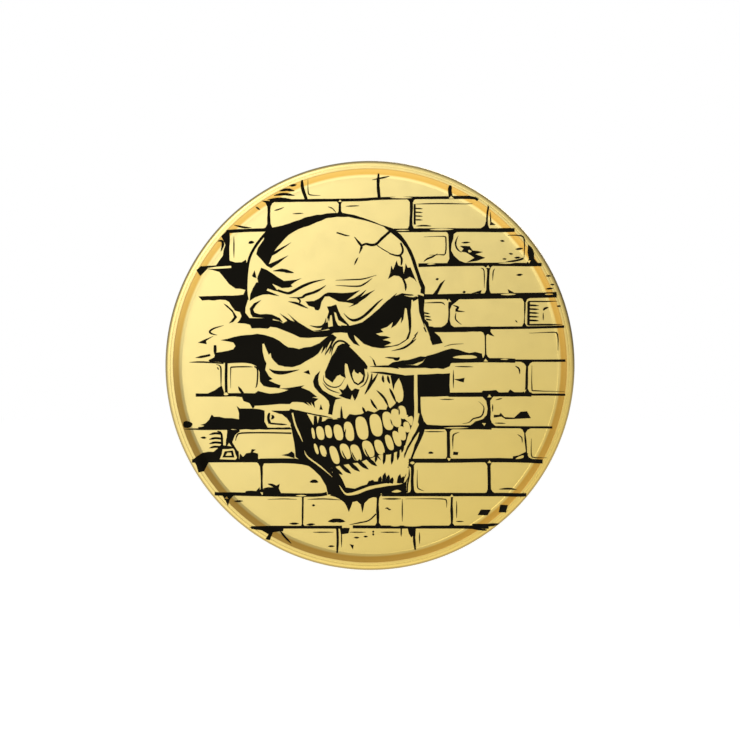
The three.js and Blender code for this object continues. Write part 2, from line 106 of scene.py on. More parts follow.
class DiscSizes(bpy.types.PropertyGroup):
    """The struck disc, in millimetres."""

    rim_width: length("Rim width", "From the field's edge to the outer edge", 1.5)
    crest_width: length("Crest width", "From the top of the bevel to the outer edge", 0.75)
    crest_round: length("Crest round", "Radius of the rim's outer corner", 0.35)
    back_round: length("Back round", "Radius of the back's outer corner", 0.3)
    back_border: length("Back border", "Plain band round the back", 1.3)
    recess_depth: length("Recess depth", "How far the back is struck in", 0.08)
    land_radius: length("Land radius", "Plain round in the middle of the back", 3.5)
    pebble_size: length("Pebble size", "Width of one pebble of the back's texture", 0.75)
    pebble_height: length("Pebble height", "Height of one pebble", 0.055)
    groove_depth: length("Groove depth", "Depth of the turned line on the rim's crest", 0.03)
    segments: bpy.props.IntProperty(name="Segments", description="Steps round the disc", default=520, min=24)


class InkSizes(bpy.types.PropertyGroup):
    """The black enamel, in millimetres."""

    height: length("Height", "How far the enamel stands above the metal", 0.045)
    sink: length("Sink", "How far the enamel goes into the metal", 0.03)
    unevenness: length("Unevenness", "How far a hand-cut edge wanders", 0.035)


class ClutchSizes(bpy.types.PropertyGroup):
    """The butterfly clutches, in millimetres."""

    gauge: length("Gauge", "Thickness of the sheet", 0.35)
    bead: length("Bead", "Radius of the cup's rolled edge", 0.3)
    hole: length("Hole", "Radius of the hole for the post", 0.775)
    spread: length("Spread", "How far a wing reaches past its fold", 4.4)
    rise: length("Rise", "How far a wing stands above its fold", 3.2)
    curl: length("Curl", "How far a wing's tip turns back down", 0.75)


class Finishes(bpy.types.PropertyGroup):
    """Colours of the metals, the enamel and the floor."""

    # The gold and the deep gold are the lit end and the shaded end of a gradient of light painted across the disc's
    # face.
    gold: colour("Gold", "Gold plate on the disc, where it is palest", "#f8e59c")
    shaded_gold: colour("Deep gold", "Gold plate on the disc, where it is deepest", "#dabf66")
    enamel: colour("Enamel", "Black enamel", "#0b0904")
    nickel: colour("Nickel", "Nickel plate on the posts", "#c9c6bd")
    solder: colour("Solder", "Tin solder under the posts", "#b4b2ac")
    brass: colour("Brass", "Brass plate on the clutches", "#d8b866")
    floor: colour("Floor", "Paper under the badge", "#fafaf8")


# ---- Nodes and materials ------------------------------------------------------------------------------------

def add(tree, kind, inputs=None, **settings):
    """Adds a node with its settings, and links or sets its inputs."""
    node = tree.nodes.new(kind)
    for name, value in settings.items():
        setattr(node, name, value)
    for key, value in (inputs or {}).items():
        if isinstance(value, bpy.types.NodeSocket):
            tree.links.new(value, node.inputs[key])
        else:
            node.inputs[key].default_value = value
    return node


def material(name, base, **sockets):
    """A new material: its tree, its shader and a texture coordinate in millimetres."""
    finish = bpy.data.materials.new(name)
    finish.use_nodes = True
    finish.diffuse_color = (*base, 1)
    tree = finish.node_tree
    shader = tree.nodes["Principled BSDF"]
    shader.inputs["Base Color"].default_value = (*base, 1)
    for key, value in sockets.items():
        shader.inputs[key.replace("_", " ").title().replace("Ior", "IOR")].default_value = value
    place = add(tree, "ShaderNodeTexCoord").outputs["Object"]
    scaled = add(tree, "ShaderNodeMapping", {"Vector": place, "Scale": (1 / MM,) * 3})
    return finish, tree, shader, scaled.outputs["Vector"]


def mottle(tree, place, grain_mm, low, high, detail=3.0):
    """A soft noise whose grain is a size in millimetres, brought between two values."""
    grain = add(tree, "ShaderNodeTexNoise", {"Vector": place, "Scale": 1 / grain_mm, "Detail": detail})
    spread = add(tree, "ShaderNodeMapRange", {
        "Value": grain.outputs["Fac"], "From Min": 0.3, "From Max": 0.7, "To Min": low, "To Max": high,
    })
    return spread.outputs["Result"]


def tint(tree, amount, dark, light):
    """A colour between two, by an amount from 0 to 1."""
    mix = add(tree, "ShaderNodeMix", {"Factor": amount}, data_type="RGBA")
    mix.inputs["A"].default_value = (*dark, 1)
    mix.inputs["B"].default_value = (*light, 1)
    return mix.outputs["Result"]


def struck_gold(finishes):
    """Gold plate on struck brass: soft broad highlights and a faint grain.

    The colour has painted light in it: a painted gradient across the face, lit on one side and shaded on the other,
    and rings near the rim: painted shade as a dark line at the edge, a painted highlight on the crest and painted
    shade on the slope inside it.
    """
    finish, tree, shader, place = material(
        "struck brass, gold plated", finishes.gold, metallic=1.0, coat_weight=0.4, coat_roughness=0.5)
    # Painted light: across the face the gold is mixed from its shaded tone at the lower right to its lit tone at the
    # upper left, a painted gradient of light and shade.
    slant = add(tree, "ShaderNodeVectorMath", {0: place, 1: LIT_SIDE}, operation="DOT_PRODUCT")
    cloud = mottle(tree, place, 6.0, -0.04, 0.04)
    light_gradient = add(tree, "ShaderNodeMapRange", {
        "Value": slant.outputs["Value"], "From Min": -DISC_RADIUS, "From Max": DISC_RADIUS})
    share = add(tree, "ShaderNodeMath", {0: light_gradient.outputs["Result"], 1: cloud}, operation="ADD", use_clamp=True)
    plain = tint(tree, share.outputs["Value"], finishes.shaded_gold, finishes.gold)
    # Painted light near the rim: painted shade at the edge and on the slope, and a painted highlight on the crest,
    # multiplied into the gold.
    tones = add(tree, "ShaderNodeMix", {"Factor": 1.0, "A": plain}, data_type="RGBA", blend_type="MULTIPLY")
    tree.links.new(rim_painted_light(tree, place), tones.inputs["B"])
    tree.links.new(tones.outputs["Result"], shader.inputs["Base Color"])
    tree.links.new(mottle(tree, place, 1.2, 0.34, 0.4), shader.inputs["Roughness"])
    grain = add(tree, "ShaderNodeTexNoise", {"Vector": place, "Scale": 4.0, "Detail": 4.0})
    skin = add(tree, "ShaderNodeBump", {"Height": grain.outputs["Fac"], "Strength": 0.04, "Distance": 0.05 * MM})
    tree.links.new(skin.outputs["Normal"], shader.inputs["Normal"])
    return finish


# The way in which the painted light grows across the face: the gold is painted lighter towards it and painted in
# shade away from it
LIT_SIDE = (-0.62, 0.0, 0.78)

# How far in from the disc's edge each tone lies, in mm, and the share of the gold's red, green and blue. These are
# painted light: painted shade at the edge, a painted highlight on the crest and a painted dark reflection on the
# slope.
RIM_PAINTED_LIGHT = (
    (0.0, (0.42, 0.4, 0.42)),
    (0.14, (0.5, 0.46, 0.42)),
    (0.26, (1.0, 0.97, 0.9)),
    (0.7, (1.02, 1.0, 0.95)),
    (0.76, (0.66, 0.46, 0.24)),
    (0.84, (0.84, 0.64, 0.34)),
    (1.2, (0.8, 0.58, 0.26)),
    (1.36, (1.0, 1.0, 1.0)),
)
RIM_TONE_REACH = 1.5


def rim_painted_light(tree, place):
    """The rim's painted shade and highlight by distance from the disc's axis, on the front half of its edge."""
    parts = add(tree, "ShaderNodeSeparateXYZ", {"Vector": place})
    flat = add(tree, "ShaderNodeCombineXYZ", {"X": parts.outputs["X"], "Y": parts.outputs["Z"]})
    radius = add(tree, "ShaderNodeVectorMath", {0: flat.outputs["Vector"]}, operation="LENGTH")
    inward = add(tree, "ShaderNodeMapRange", {
        "Value": radius.outputs["Value"], "From Min": DISC_RADIUS, "From Max": DISC_RADIUS - RIM_TONE_REACH})
    ramp = add(tree, "ShaderNodeValToRGB", {"Fac": inward.outputs["Result"]})
    stops = ramp.color_ramp.elements
    stops.remove(stops[1])
    for depth, tone in RIM_PAINTED_LIGHT:
        stop = stops.new(depth / RIM_TONE_REACH) if depth else stops[0]
        stop.position = depth / RIM_TONE_REACH
        stop.color = (*tone, 1)
    behind = add(tree, "ShaderNodeMapRange", {
        "Value": parts.outputs["Y"], "From Min": FIELD_Y, "From Max": FIELD_Y + 0.3})
    front = add(tree, "ShaderNodeMix", {"Factor": behind.outputs["Result"], "A": ramp.outputs["Color"]},
                data_type="RGBA")
    front.inputs["B"].default_value = (1, 1, 1, 1)
    return front.outputs["Result"]


def black_enamel(finishes):
    """Stoved black enamel, screened on: near black, with a soft gloss and a slight orange peel."""
    finish, tree, shader, place = material(
        "black enamel", finishes.enamel, specular_ior_level=0.04, ior=1.5)
    tree.links.new(mottle(tree, place, 1.5, 0.42, 0.52), shader.inputs["Roughness"])
    cloud = mottle(tree, place, 3.0, 0.0, 1.0)
    warm = tuple(c * 1.6 for c in finishes.enamel)
    tree.links.new(tint(tree, cloud, finishes.enamel, warm), shader.inputs["Base Color"])
    peel = add(tree, "ShaderNodeTexNoise", {"Vector": place, "Scale": 2.5, "Detail": 2.0})
    skin = add(tree, "ShaderNodeBump", {"Height": peel.outputs["Fac"], "Strength": 0.06, "Distance": 0.05 * MM})
    tree.links.new(skin.outputs["Normal"], shader.inputs["Normal"])
    return finish


def nickel_plate(finishes):
    """Nickel on drawn steel wire: bright and slightly warm, with fine drawing lines along the post."""
    finish, tree, shader, place = material("steel wire, nickel plated", finishes.nickel, metallic=1.0)
    stretched = add(tree, "ShaderNodeMapping", {"Vector": place, "Scale": (1.0, 0.04, 1.0)})
    lines = mottle(tree, stretched.outputs["Vector"], 0.08, 0.18, 0.34)
    tree.links.new(lines, shader.inputs["Roughness"])
    cloud = mottle(tree, place, 1.0, 0.0, 1.0)
    dull = tuple(c * 0.86 for c in finishes.nickel)
    tree.links.new(tint(tree, cloud, dull, finishes.nickel), shader.inputs["Base Color"])
    return finish


def tin_solder(finishes):
    """Tin solder, melted and left to set: grey, frosted and slightly lumpy."""
    finish, tree, shader, place = material("tin solder", finishes.solder, metallic=1.0)
    tree.links.new(mottle(tree, place, 0.3, 0.42, 0.62), shader.inputs["Roughness"])
    cloud = mottle(tree, place, 0.7, 0.0, 1.0)
    burnt = tuple(c * 0.62 for c in finishes.solder)
    tree.links.new(tint(tree, cloud, burnt, finishes.solder), shader.inputs["Base Color"])
    lumps = add(tree, "ShaderNodeTexVoronoi", {"Vector": place, "Scale": 4.0})
    skin = add(tree, "ShaderNodeBump", {"Height": lumps.outputs["Distance"], "Strength": 0.25, "Distance": 0.05 * MM})
    tree.links.new(skin.outputs["Normal"], shader.inputs["Normal"])
    return finish


def spring_brass(finishes):
    """Brass plate on rolled spring steel: yellower than the disc, with the rolling marks of the sheet."""
    finish, tree, shader, place = material("spring sheet, brass plated", finishes.brass, metallic=1.0)
    stretched = add(tree, "ShaderNodeMapping", {"Vector": place, "Scale": (0.05, 1.0, 1.0)})
    marks = mottle(tree, stretched.outputs["Vector"], 0.12, 0.24, 0.42)
    tree.links.new(marks, shader.inputs["Roughness"])
    cloud = mottle(tree, place, 2.5, 0.0, 1.0)
    deep = tuple(c * 0.85 for c in finishes.brass)
    tree.links.new(tint(tree, cloud, deep, finishes.brass), shader.inputs["Base Color"])
    return finish


def white_paper(finishes):
    """Smooth white paper: a plain bright ground, which glows a little so that it stays white."""
    finish, tree, shader, place = material(
        "white paper", finishes.floor, roughness=0.9, emission_color=(1, 1, 1, 1), emission_strength=0.55)
    cloud = mottle(tree, place, 40.0, 0.0, 1.0)
    shade = tuple(c * 0.985 for c in finishes.floor)
    tree.links.new(tint(tree, cloud, shade, finishes.floor), shader.inputs["Base Color"])
    return finish


MATERIALS = {
    "gold_plate": struck_gold,
    "black_enamel": black_enamel,
    "post_nickel": nickel_plate,
    "solder": tin_solder,
    "clutch_brass": spring_brass,
    "floor": white_paper,
}


def get_material(slot):
    """The finish for a slot, made once."""
    known = bpy.context.scene.get("pin_materials", {})
    if slot not in known:
        finish = MATERIALS[slot](bpy.context.scene.pin_finishes)
        bpy.context.scene["pin_materials"] = {**dict(known), slot: finish.name}
        return finish
    return bpy.data.materials[known[slot]]


# ---- Meshes -------------------------------------------------------------------------------------------------

def make_piece(name, mesh, body, slot, *nodes):
    """Makes the object for a finished mesh, and says what it is in the frame."""
    piece = bpy.data.objects.new(name, mesh)
    bpy.context.scene.collection.objects.link(piece)
    mesh.materials.clear()
    mesh.materials.append(get_material(slot))
    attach(piece, body)
    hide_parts(*nodes)
    return piece


def to_mesh(name, points, faces, smooth_angle=35.0):
    """A mesh in metres from points in millimetres, smooth except at edges sharper than an angle."""
    mesh = bpy.data.meshes.new(name)
    mesh.from_pydata([tuple(c * MM for c in p) for p in points], [], faces)
    bm = bmesh.new()
    bm.from_mesh(mesh)
    bmesh.ops.remove_doubles(bm, verts=bm.verts, dist=1e-7)
    bmesh.ops.dissolve_degenerate(bm, edges=bm.edges, dist=1e-7)
    bmesh.ops.recalc_face_normals(bm, faces=bm.faces)
    bm.to_mesh(mesh)
    bm.free()
    mesh.shade_smooth()
    mesh.set_sharp_from_angle(angle=math.radians(smooth_angle))
    return mesh


def arc(centre, radius, start, end, steps=6):
    """Points of an arc from one angle to another, in degrees."""
    turns = [math.radians(start + (end - start) * i / steps) for i in range(steps + 1)]
    return [(centre[0] + radius * math.cos(t), centre[1] + radius * math.sin(t)) for t in turns]


def eased(corners, radius, steps=4):
    """An outline with each corner rounded, as far as its shorter side allows."""
    points = []
    for i, corner in enumerate(corners):
        here = Vector(corner)
        before = Vector(corners[i - 1])
        after = Vector(corners[(i + 1) % len(corners)])
        reach = min(radius, (before - here).length / 2.05, (after - here).length / 2.05)
        start = here + (before - here).normalized() * reach
        end = here + (after - here).normalized() * reach
        for k in range(steps + 1):
            t = k / steps
            points.append(tuple(start * (1 - t) ** 2 + here * 2 * t * (1 - t) + end * t ** 2))
    return points


def turned(profile, centre, segments, closed=False):
    """Points and faces of a turning about the Y axis. The profile holds (radius, y)."""
    ring = range(segments)
    points = []
    for radius, y in profile:
        for k in ring:
            turn = math.tau * k / segments
            points.append((centre.x + radius * math.cos(turn), y, centre.z + radius * math.sin(turn)))
    last = len(profile) if closed else len(profile) - 1
    faces = []
    for i in range(last):
        a = i * segments
        b = (i + 1) % len(profile) * segments
        faces += [(a + k, a + (k + 1) % segments, b + (k + 1) % segments, b + k) for k in ring]
    return points, faces


# ---- Struck disc --------------------------------------------------------------------------------------------

DISC_INPUTS = (
    "Radius", "Field Depth", "Crest Depth", "Rim Width", "Crest Width", "Crest Round", "Back Round",
    "Back Border", "Recess Depth", "Land Radius", "Pebble Size", "Pebble Height", "Groove Depth",
)


def disc_tree(finish):
    """Geometry Nodes that turn the disc's profile about its middle and pebble its struck-in back."""
    tree = bpy.data.node_groups.new("Struck disc", "GeometryNodeTree")
    sockets = tree.interface
    sockets.new_socket("Geometry", in_out="OUTPUT", socket_type="NodeSocketGeometry")
    for name in DISC_INPUTS:
        sockets.new_socket(name, in_out="INPUT", socket_type="NodeSocketFloat")
    sockets.new_socket("Segments", in_out="INPUT", socket_type="NodeSocketInt")
    given = add(tree, "NodeGroupInput").outputs

    def math_node(operation, *values):
        return add(tree, "ShaderNodeMath", dict(enumerate(values)), operation=operation).outputs[0]

    def minus(a, b):
        return math_node("SUBTRACT", a, b)

    def plus(a, b):
        return math_node("ADD", a, b)

    field = math_node("MULTIPLY", given["Field Depth"], -1.0)
    crest = math_node("MULTIPLY", given["Crest Depth"], -1.0)
    floor = math_node("MULTIPLY", given["Recess Depth"], -1.0)
    foot = minus(given["Radius"], given["Rim Width"])
    top = minus(given["Radius"], given["Crest Width"])
    border = minus(given["Radius"], given["Back Border"])
    groove = plus(top, 0.22 * MM)
    groove_floor = plus(crest, given["Groove Depth"])
    small = 0.04 * MM
    corners = [
        (0.0, field, 0.0),
        (minus(foot, 0.4 * MM), field, 0.0),
        (foot, field, 0.15 * MM),
        (top, crest, 0.12 * MM),
        (groove, crest, 0.02 * MM),
        (plus(groove, small), groove_floor, 0.02 * MM),
        (plus(groove, 0.08 * MM), crest, 0.02 * MM),
        (given["Radius"], crest, given["Crest Round"]),
        (given["Radius"], 0.0, given["Back Round"]),
        (border, 0.0, small),
        (minus(border, 0.1 * MM), floor, small),
        (plus(given["Land Radius"], 0.1 * MM), floor, small),
        (given["Land Radius"], 0.0, small),
        (0.0, 0.0, 0.0),
    ]
    number = add(tree, "GeometryNodeInputIndex").outputs["Index"]
    places = add(tree, "GeometryNodeIndexSwitch", {"Index": number}, data_type="VECTOR")
    rounds = add(tree, "GeometryNodeIndexSwitch", {"Index": number}, data_type="FLOAT")
    for switch in (places, rounds):
        while len(switch.index_switch_items) < len(corners):
            switch.index_switch_items.new()
    for i, (radius, y, rounding) in enumerate(corners):
        corner = add(tree, "ShaderNodeCombineXYZ", {"X": radius, "Y": y}).outputs["Vector"]
        tree.links.new(corner, places.inputs[i + 1])
        if isinstance(rounding, float):
            rounds.inputs[i + 1].default_value = rounding
        else:
            tree.links.new(rounding, rounds.inputs[i + 1])
    dots = add(tree, "GeometryNodePoints", {"Count": len(corners), "Position": places.outputs["Output"]})
    chain = add(tree, "GeometryNodePointsToCurves", {"Points": dots.outputs["Points"]})
    filleted = add(tree, "GeometryNodeFilletCurve", {
        "Curve": chain.outputs["Curves"], "Count": 4, "Radius": rounds.outputs["Output"], "Limit Radius": True,
    }, mode="POLY")

    here = add(tree, "GeometryNodeInputPosition").outputs["Position"]
    following = add(tree, "GeometryNodeFieldAtIndex", {"Index": plus(number, 1.0), "Value": here},
                    data_type="FLOAT_VECTOR").outputs["Value"]
    step = add(tree, "ShaderNodeVectorMath", {0: here, 1: following}, operation="DISTANCE").outputs["Value"]
    height = add(tree, "ShaderNodeSeparateXYZ", {"Vector": here}).outputs["Y"]
    at_back = math_node("GREATER_THAN", height, math_node("MULTIPLY", field, 0.5))
    cuts = math_node("MULTIPLY", at_back, math_node("FLOOR", math_node("DIVIDE", step, 0.22 * MM)))
    ringed = add(tree, "GeometryNodeSubdivideCurve", {"Curve": filleted.outputs["Curve"], "Cuts": cuts})

    profile = ringed.outputs["Curve"]
    rings = add(tree, "GeometryNodeAttributeDomainSize", {0: profile}, component="CURVE").outputs["Point Count"]
    across = plus(given["Segments"], 1.0)
    sheet = add(tree, "GeometryNodeMeshGrid", {"Vertices X": rings, "Vertices Y": across}).outputs["Mesh"]
    ring = math_node("FLOOR", math_node("DIVIDE", plus(number, 0.5), across))
    turn = math_node("MULTIPLY", minus(number, math_node("MULTIPLY", ring, across)),
                     math_node("DIVIDE", math.tau, given["Segments"]))
    sample = add(tree, "GeometryNodeSampleIndex", {"Geometry": profile, "Value": here, "Index": ring},
                 data_type="FLOAT_VECTOR", domain="POINT").outputs["Value"]
    flat = add(tree, "ShaderNodeSeparateXYZ", {"Vector": sample}).outputs
    pebbles = add(tree, "ShaderNodeTexVoronoi", {
        "Vector": here, "Scale": math_node("DIVIDE", 1.0, given["Pebble Size"]), "Randomness": 0.9,
    }, feature="SMOOTH_F1")
    spun = add(tree, "ShaderNodeCombineXYZ", {
        "X": math_node("MULTIPLY", flat["X"], math_node("COSINE", turn)),
        "Y": flat["Y"],
        "Z": math_node("MULTIPLY", flat["X"], math_node("SINE", turn)),
    }).outputs["Vector"]
    lathe = add(tree, "GeometryNodeSetPosition", {"Geometry": sheet, "Position": spun}).outputs["Geometry"]
    closed = add(tree, "GeometryNodeMergeByDistance", {"Geometry": lathe, "Distance": 0.5e-6}).outputs["Geometry"]

    spot = add(tree, "ShaderNodeSeparateXYZ", {"Vector": here}).outputs
    reach = add(tree, "ShaderNodeVectorMath", {
        0: add(tree, "ShaderNodeCombineXYZ", {"X": spot["X"], "Y": spot["Z"]}).outputs["Vector"],
    }, operation="LENGTH").outputs["Value"]
    margin = 0.25 * MM
    inside = math_node("LESS_THAN", reach, minus(border, margin))
    outside = math_node("GREATER_THAN", reach, plus(given["Land Radius"], margin))
    behind = math_node("GREATER_THAN", spot["Y"], math_node("MULTIPLY", field, 0.5))
    chosen = math_node("MULTIPLY", behind, math_node("MULTIPLY", inside, outside))
    dome = add(tree, "ShaderNodeMapRange", {
        "Value": pebbles.outputs["Distance"], "From Min": 0.0, "From Max": 0.55,
        "To Min": given["Pebble Height"], "To Max": 0.0,
    }).outputs["Result"]
    lift = add(tree, "ShaderNodeCombineXYZ", {"Y": dome}).outputs["Vector"]
    pebbled = add(tree, "GeometryNodeSetPosition", {
        "Geometry": closed, "Selection": chosen, "Offset": lift,
    }).outputs["Geometry"]
    real = add(tree, "GeometryNodeRealizeInstances", {"Geometry": pebbled}).outputs["Geometry"]
    coated = add(tree, "GeometryNodeSetMaterial", {"Geometry": real, "Material": finish})
    add(tree, "NodeGroupOutput", {"Geometry": coated.outputs["Geometry"]})
    return tree


def grow(name, tree, values):
    """Runs a Geometry Nodes tree with its inputs set, and returns the plain mesh that it makes."""
    seed = bpy.data.objects.new(name, bpy.data.meshes.new(name))
    modifier = seed.modifiers.new(name, "NODES")
    modifier.node_group = tree
    for item in tree.interface.items_tree:
        if item.item_type == "SOCKET" and item.in_out == "INPUT":
            modifier[item.identifier] = values[item.name]
    bpy.context.scene.collection.objects.link(seed)
    depsgraph = bpy.context.evaluated_depsgraph_get()
    mesh = bpy.data.meshes.new_from_object(seed.evaluated_get(depsgraph))
    seed.modifiers.remove(modifier)
    bpy.data.objects.remove(seed)
    return mesh


class PIN_OT_strike_disc(bpy.types.Operator):
    """Strike the round disc with its raised rim and pebbled back"""

    bl_idname = "pin.strike_disc"
    bl_label = "Strike disc"

    def execute(self, context):
        sizes = context.scene.pin_disc
        values = {
            "Radius": DISC_RADIUS, "Field Depth": -FIELD_Y, "Crest Depth": -CREST_Y,
            "Rim Width": sizes.rim_width, "Crest Width": sizes.crest_width, "Crest Round": sizes.crest_round,
            "Back Round": sizes.back_round, "Back Border": sizes.back_border,
            "Recess Depth": sizes.recess_depth, "Land Radius": sizes.land_radius,
            "Pebble Size": sizes.pebble_size, "Pebble Height": sizes.pebble_height,
            "Groove Depth": sizes.groove_depth,
        }
        values = {name: value * MM for name, value in values.items()}
        values["Segments"] = sizes.segments
        mesh = grow("struck disc", disc_tree(get_material("gold_plate")), values)
        bm = bmesh.new()
        bm.from_mesh(mesh)
        bmesh.ops.recalc_face_normals(bm, faces=bm.faces)
        open_edges = [edge for edge in bm.edges if not edge.is_manifold]
        bm.to_mesh(mesh)
        bm.free()
        if open_edges:
            raise RuntimeError(f"the disc has {len(open_edges)} open edges")
        mesh.shade_smooth()
        mesh.set_sharp_from_angle(angle=math.radians(30))
        make_piece("disc", mesh, BADGE, "gold_plate", "struck_disc")
        return {"FINISHED"}


# ---- Enamel drawing -----------------------------------------------------------------------------------------

def smooth_line(corners, steps, closed=False):
    """Points of a smooth line through some corners (centripetal enough for a drawing's short steps)."""
    count = len(corners)
    points = []
    for i in range(count if closed else count - 1):
        if closed:
            a, b, c, d = (corners[(i + k) % count] for k in (-1, 0, 1, 2))
        else:
            a, b, c, d = (corners[min(max(i + k, 0), count - 1)] for k in (-1, 0, 1, 2))
        for k in range(steps):
            t = k / steps
            points.append(tuple(
                0.5 * (2 * q + (r - p) * t + (2 * p - 5 * q + 4 * r - s) * t * t + (3 * q - p - 3 * r + s) * t ** 3)
                for p, q, r, s in zip(a, b, c, d)
            ))
    if not closed:
        points.append(tuple(corners[-1]))
    return points


def wander(x, z):
    """How far a hand-cut edge strays at a place, from -1 to 1."""
    return (math.sin(5.3 * x + 3.1 * z) + math.sin(7.9 * z - 4.7 * x + 1.3)) / 2


class Pen:
    """Draws the enamel in millimetres on the badge's face. Later marks cover earlier ones."""

    def __init__(self, unevenness):
        self.unevenness = unevenness
        self.piece = None
        self.marks = []

    def mark(self, points, inked):
        """Adds one simple outline, turned anticlockwise as the cutting needs."""
        area = sum(ax * bz - bx * az for (ax, az), (bx, bz) in zip(points, points[1:] + points[:1])) / 2
        if abs(area) > 1e-6:
            self.marks.append((self.piece if inked else None, points if area > 0 else points[::-1]))

    def uneven(self, points):
        """An outline with points added along its longer sides and moved a little."""
        rough = []
        for (ax, az), (bx, bz) in zip(points, points[1:] + points[:1]):
            size = math.hypot(bx - ax, bz - az) or 1.0
            steps = max(1, round(size / 0.6))
            nx = (bz - az) / size
            nz = (ax - bx) / size
            for k in range(steps):
                x = ax + (bx - ax) * k / steps
                z = az + (bz - az) * k / steps
                stray = self.unevenness * wander(x, z)
                rough.append((x + nx * stray, z + nz * stray))
        return rough

    def stroke(self, width, corners, ends, inked):
        """A brush stroke along a smooth line; ends holds the share of its width at its start and end."""
        line = smooth_line(corners, 3) if len(corners) > 2 else [
            tuple(a + (b - a) * k / 3 for a, b in zip(*corners)) for k in range(4)]
        sides = []
        count = len(line) - 1
        for i, (x, z) in enumerate(line):
            ax, az = line[max(i - 1, 0)]
            bx, bz = line[min(i + 1, count)]
            size = math.hypot(bx - ax, bz - az) or 1.0
            t = i / count
            swell = ends[0] + (1 - ends[0]) * min(1.0, 3.2 * t)
            swell = min(swell, ends[1] + (1 - ends[1]) * min(1.0, 3.2 * (1 - t)))
            half = width / 2 * swell * (1 + 2.2 * self.unevenness * wander(3 * x, 3 * z))
            half = max(half, 0.012)
            nx = (az - bz) / size * half
            nz = (bx - ax) / size * half
            sides.append(((x + nx, z + nz), (x - nx, z - nz)))
        for (a, b), (c, d) in zip(sides, sides[1:]):
            self.mark([a, c, d], inked)
            self.mark([a, d, b], inked)

    def line(self, width, *corners, ends=(0.1, 0.1)):
        """An inked stroke."""
        self.stroke(width, corners, ends, True)

    def rule(self, width, *corners):
        """An inked stroke with full ends."""
        self.stroke(width, corners, (1, 1), True)

    def scratch(self, width, *corners, ends=(0.1, 0.1)):
        """A bare stroke."""
        self.stroke(width, corners, ends, False)

    def fill(self, *corners):
        """An inked patch with a cut edge."""
        self.mark(self.uneven(list(corners)), True)

    def bare(self, *corners):
        """A bare patch with a cut edge."""
        self.mark(self.uneven(list(corners)), False)

    def blob(self, *corners):
        """An inked patch with a round edge."""
        self.mark(smooth_line(corners, 3, closed=True), True)

    def lens(self, *corners):
        """A bare patch with a round edge."""
        self.mark(smooth_line(corners, 3, closed=True), False)



def joint(pen, width, top, low, flare=0.32):
    """An upright joint between two bricks, spreading where it meets the courses."""
    half = width / 2
    right = [(flare, 0), (flare * 0.35, flare * 0.35), (0, flare)]
    side = [(top[0] + half + x, top[1] - z) for x, z in right]
    side += [(low[0] + half + x, low[1] + z) for x, z in reversed(right)]
    other = [(low[0] - half - x, low[1] + z) for x, z in right]
    other += [(top[0] - half - x, top[1] - z) for x, z in reversed(right)]
    pen.fill(*side, *other)


def draw_mortar_top(pen):
    """Courses above the skull."""
    pen.rule( 0.26, (-9.3, 15.3), (-5, 15.35), (-1, 15.4), (1, 15.52), (5, 15.58), (9.2, 15.58), (10, 15.32))
    pen.rule(0.3, (-13.3, 12.4), (-11.6, 12.55), (-9.4, 12.6))
    pen.rule(0.34, (2.2, 12.55), (6, 12.58), (10, 12.58), (13.4, 12.55))
    pen.line(0.3, (-6.3, 17.2), (-6.25, 16.4), (-5.9, 15.4), ends=(0.4, 1))
    pen.line(0.28, (0.8, 17.8), (0.75, 16.8), (0.85, 15.6), ends=(0.5, 1))
    pen.line(0.35, (7.45, 16.7), (7.4, 16.2), (7.55, 15.5), ends=(0.5, 1.4))
    joint(pen, 0.28, (-9.4, 15.25), (-9.4, 12.65), 0.5)
    joint(pen, 0.24, (-2.8, 15.3), (-2.8, 14.05), 0.3)
    joint(pen, 0.28, (3.85, 15.5), (3.8, 12.65), 0.35)
    pen.fill(
        (10.9, 14.85), (11.05, 14.7), (10.95, 14), (10.95, 13.1), (11.1, 12.75), (10.3, 12.75), (10.65, 13),
        (10.8, 13.4), (10.8, 14.2))
    pen.line(0.1, (11.15, 14.2), (11.2, 13.5), (11.25, 13.2))
    pen.fill((11.18, 13.4), (11.65, 13.05), (11.15, 13.05))
    pen.line(0.12, (0.2, 17.25), (1, 17.4), (1.8, 17.55))
    # The bricks' worn edges
    pen.line(0.1, (-5.75, 17.2), (-5.75, 16.1), (-5.5, 15.85), (-4.6, 15.8))
    pen.line(0.1, (-3.9, 14.75), (-3.5, 14.6), (-3.15, 14.2))
    pen.line(0.1, (-2.25, 14.8), (-1, 14.85))
    pen.line(0.12, (-8.9, 14.4), (-8.5, 14.5), (-8, 14.7))
    pen.line(0.1, (-7.2, 14.1), (-6.2, 14.15))
    pen.line(0.1, (4.2, 15), (6.5, 15.05), (9.5, 15))
    # Chips in the mortar
    pen.lens((1.8, 15.6), (2.9, 15.7), (4, 15.58), (2.9, 15.53))
    pen.lens((2.4, 12.55), (3, 12.62), (3.7, 12.56), (3, 12.5))
    pen.lens((5.5, 12.62), (6.6, 12.74), (7.8, 12.65), (6.6, 12.56))
    pen.bare((-2.95, 15.2), (-2.65, 15.2), (-2.8, 15.42))
    pen.bare((7.3, 15.5), (7.8, 15.5), (7.55, 15.75))
    # Strokes on the rim and the top left bricks
    pen.line(0.2, (-7.5, 16.65), (-6.8, 16.75))
    pen.line(0.22, (-8.4, 16.15), (-7.7, 16.3), (-7, 16.2))
    pen.line(0.2, (-8.9, 15.75), (-8, 15.9), (-7, 15.8))
    pen.line(0.16, (-9.5, 15.35), (-8.3, 15.5), (-7.1, 15.4))
    pen.line(0.15, (-10.6, 14.7), (-10.2, 14.45))
    pen.line(0.16, (-12.6, 13), (-11.8, 12.85), (-11, 12.8))
    # Comb of short strokes at a brick's broken end
    pen.rule(0.2, (4.15, 15), (4.15, 13.1))
    for z in (14.6, 14.25, 13.9, 13.55):
        pen.line(0.12, (4.15, z), (4.9, z - 0.03), ends=(1, 0.1))
    pen.line(0.14, (4.3, 12.95), (5, 13), (5.7, 12.95))


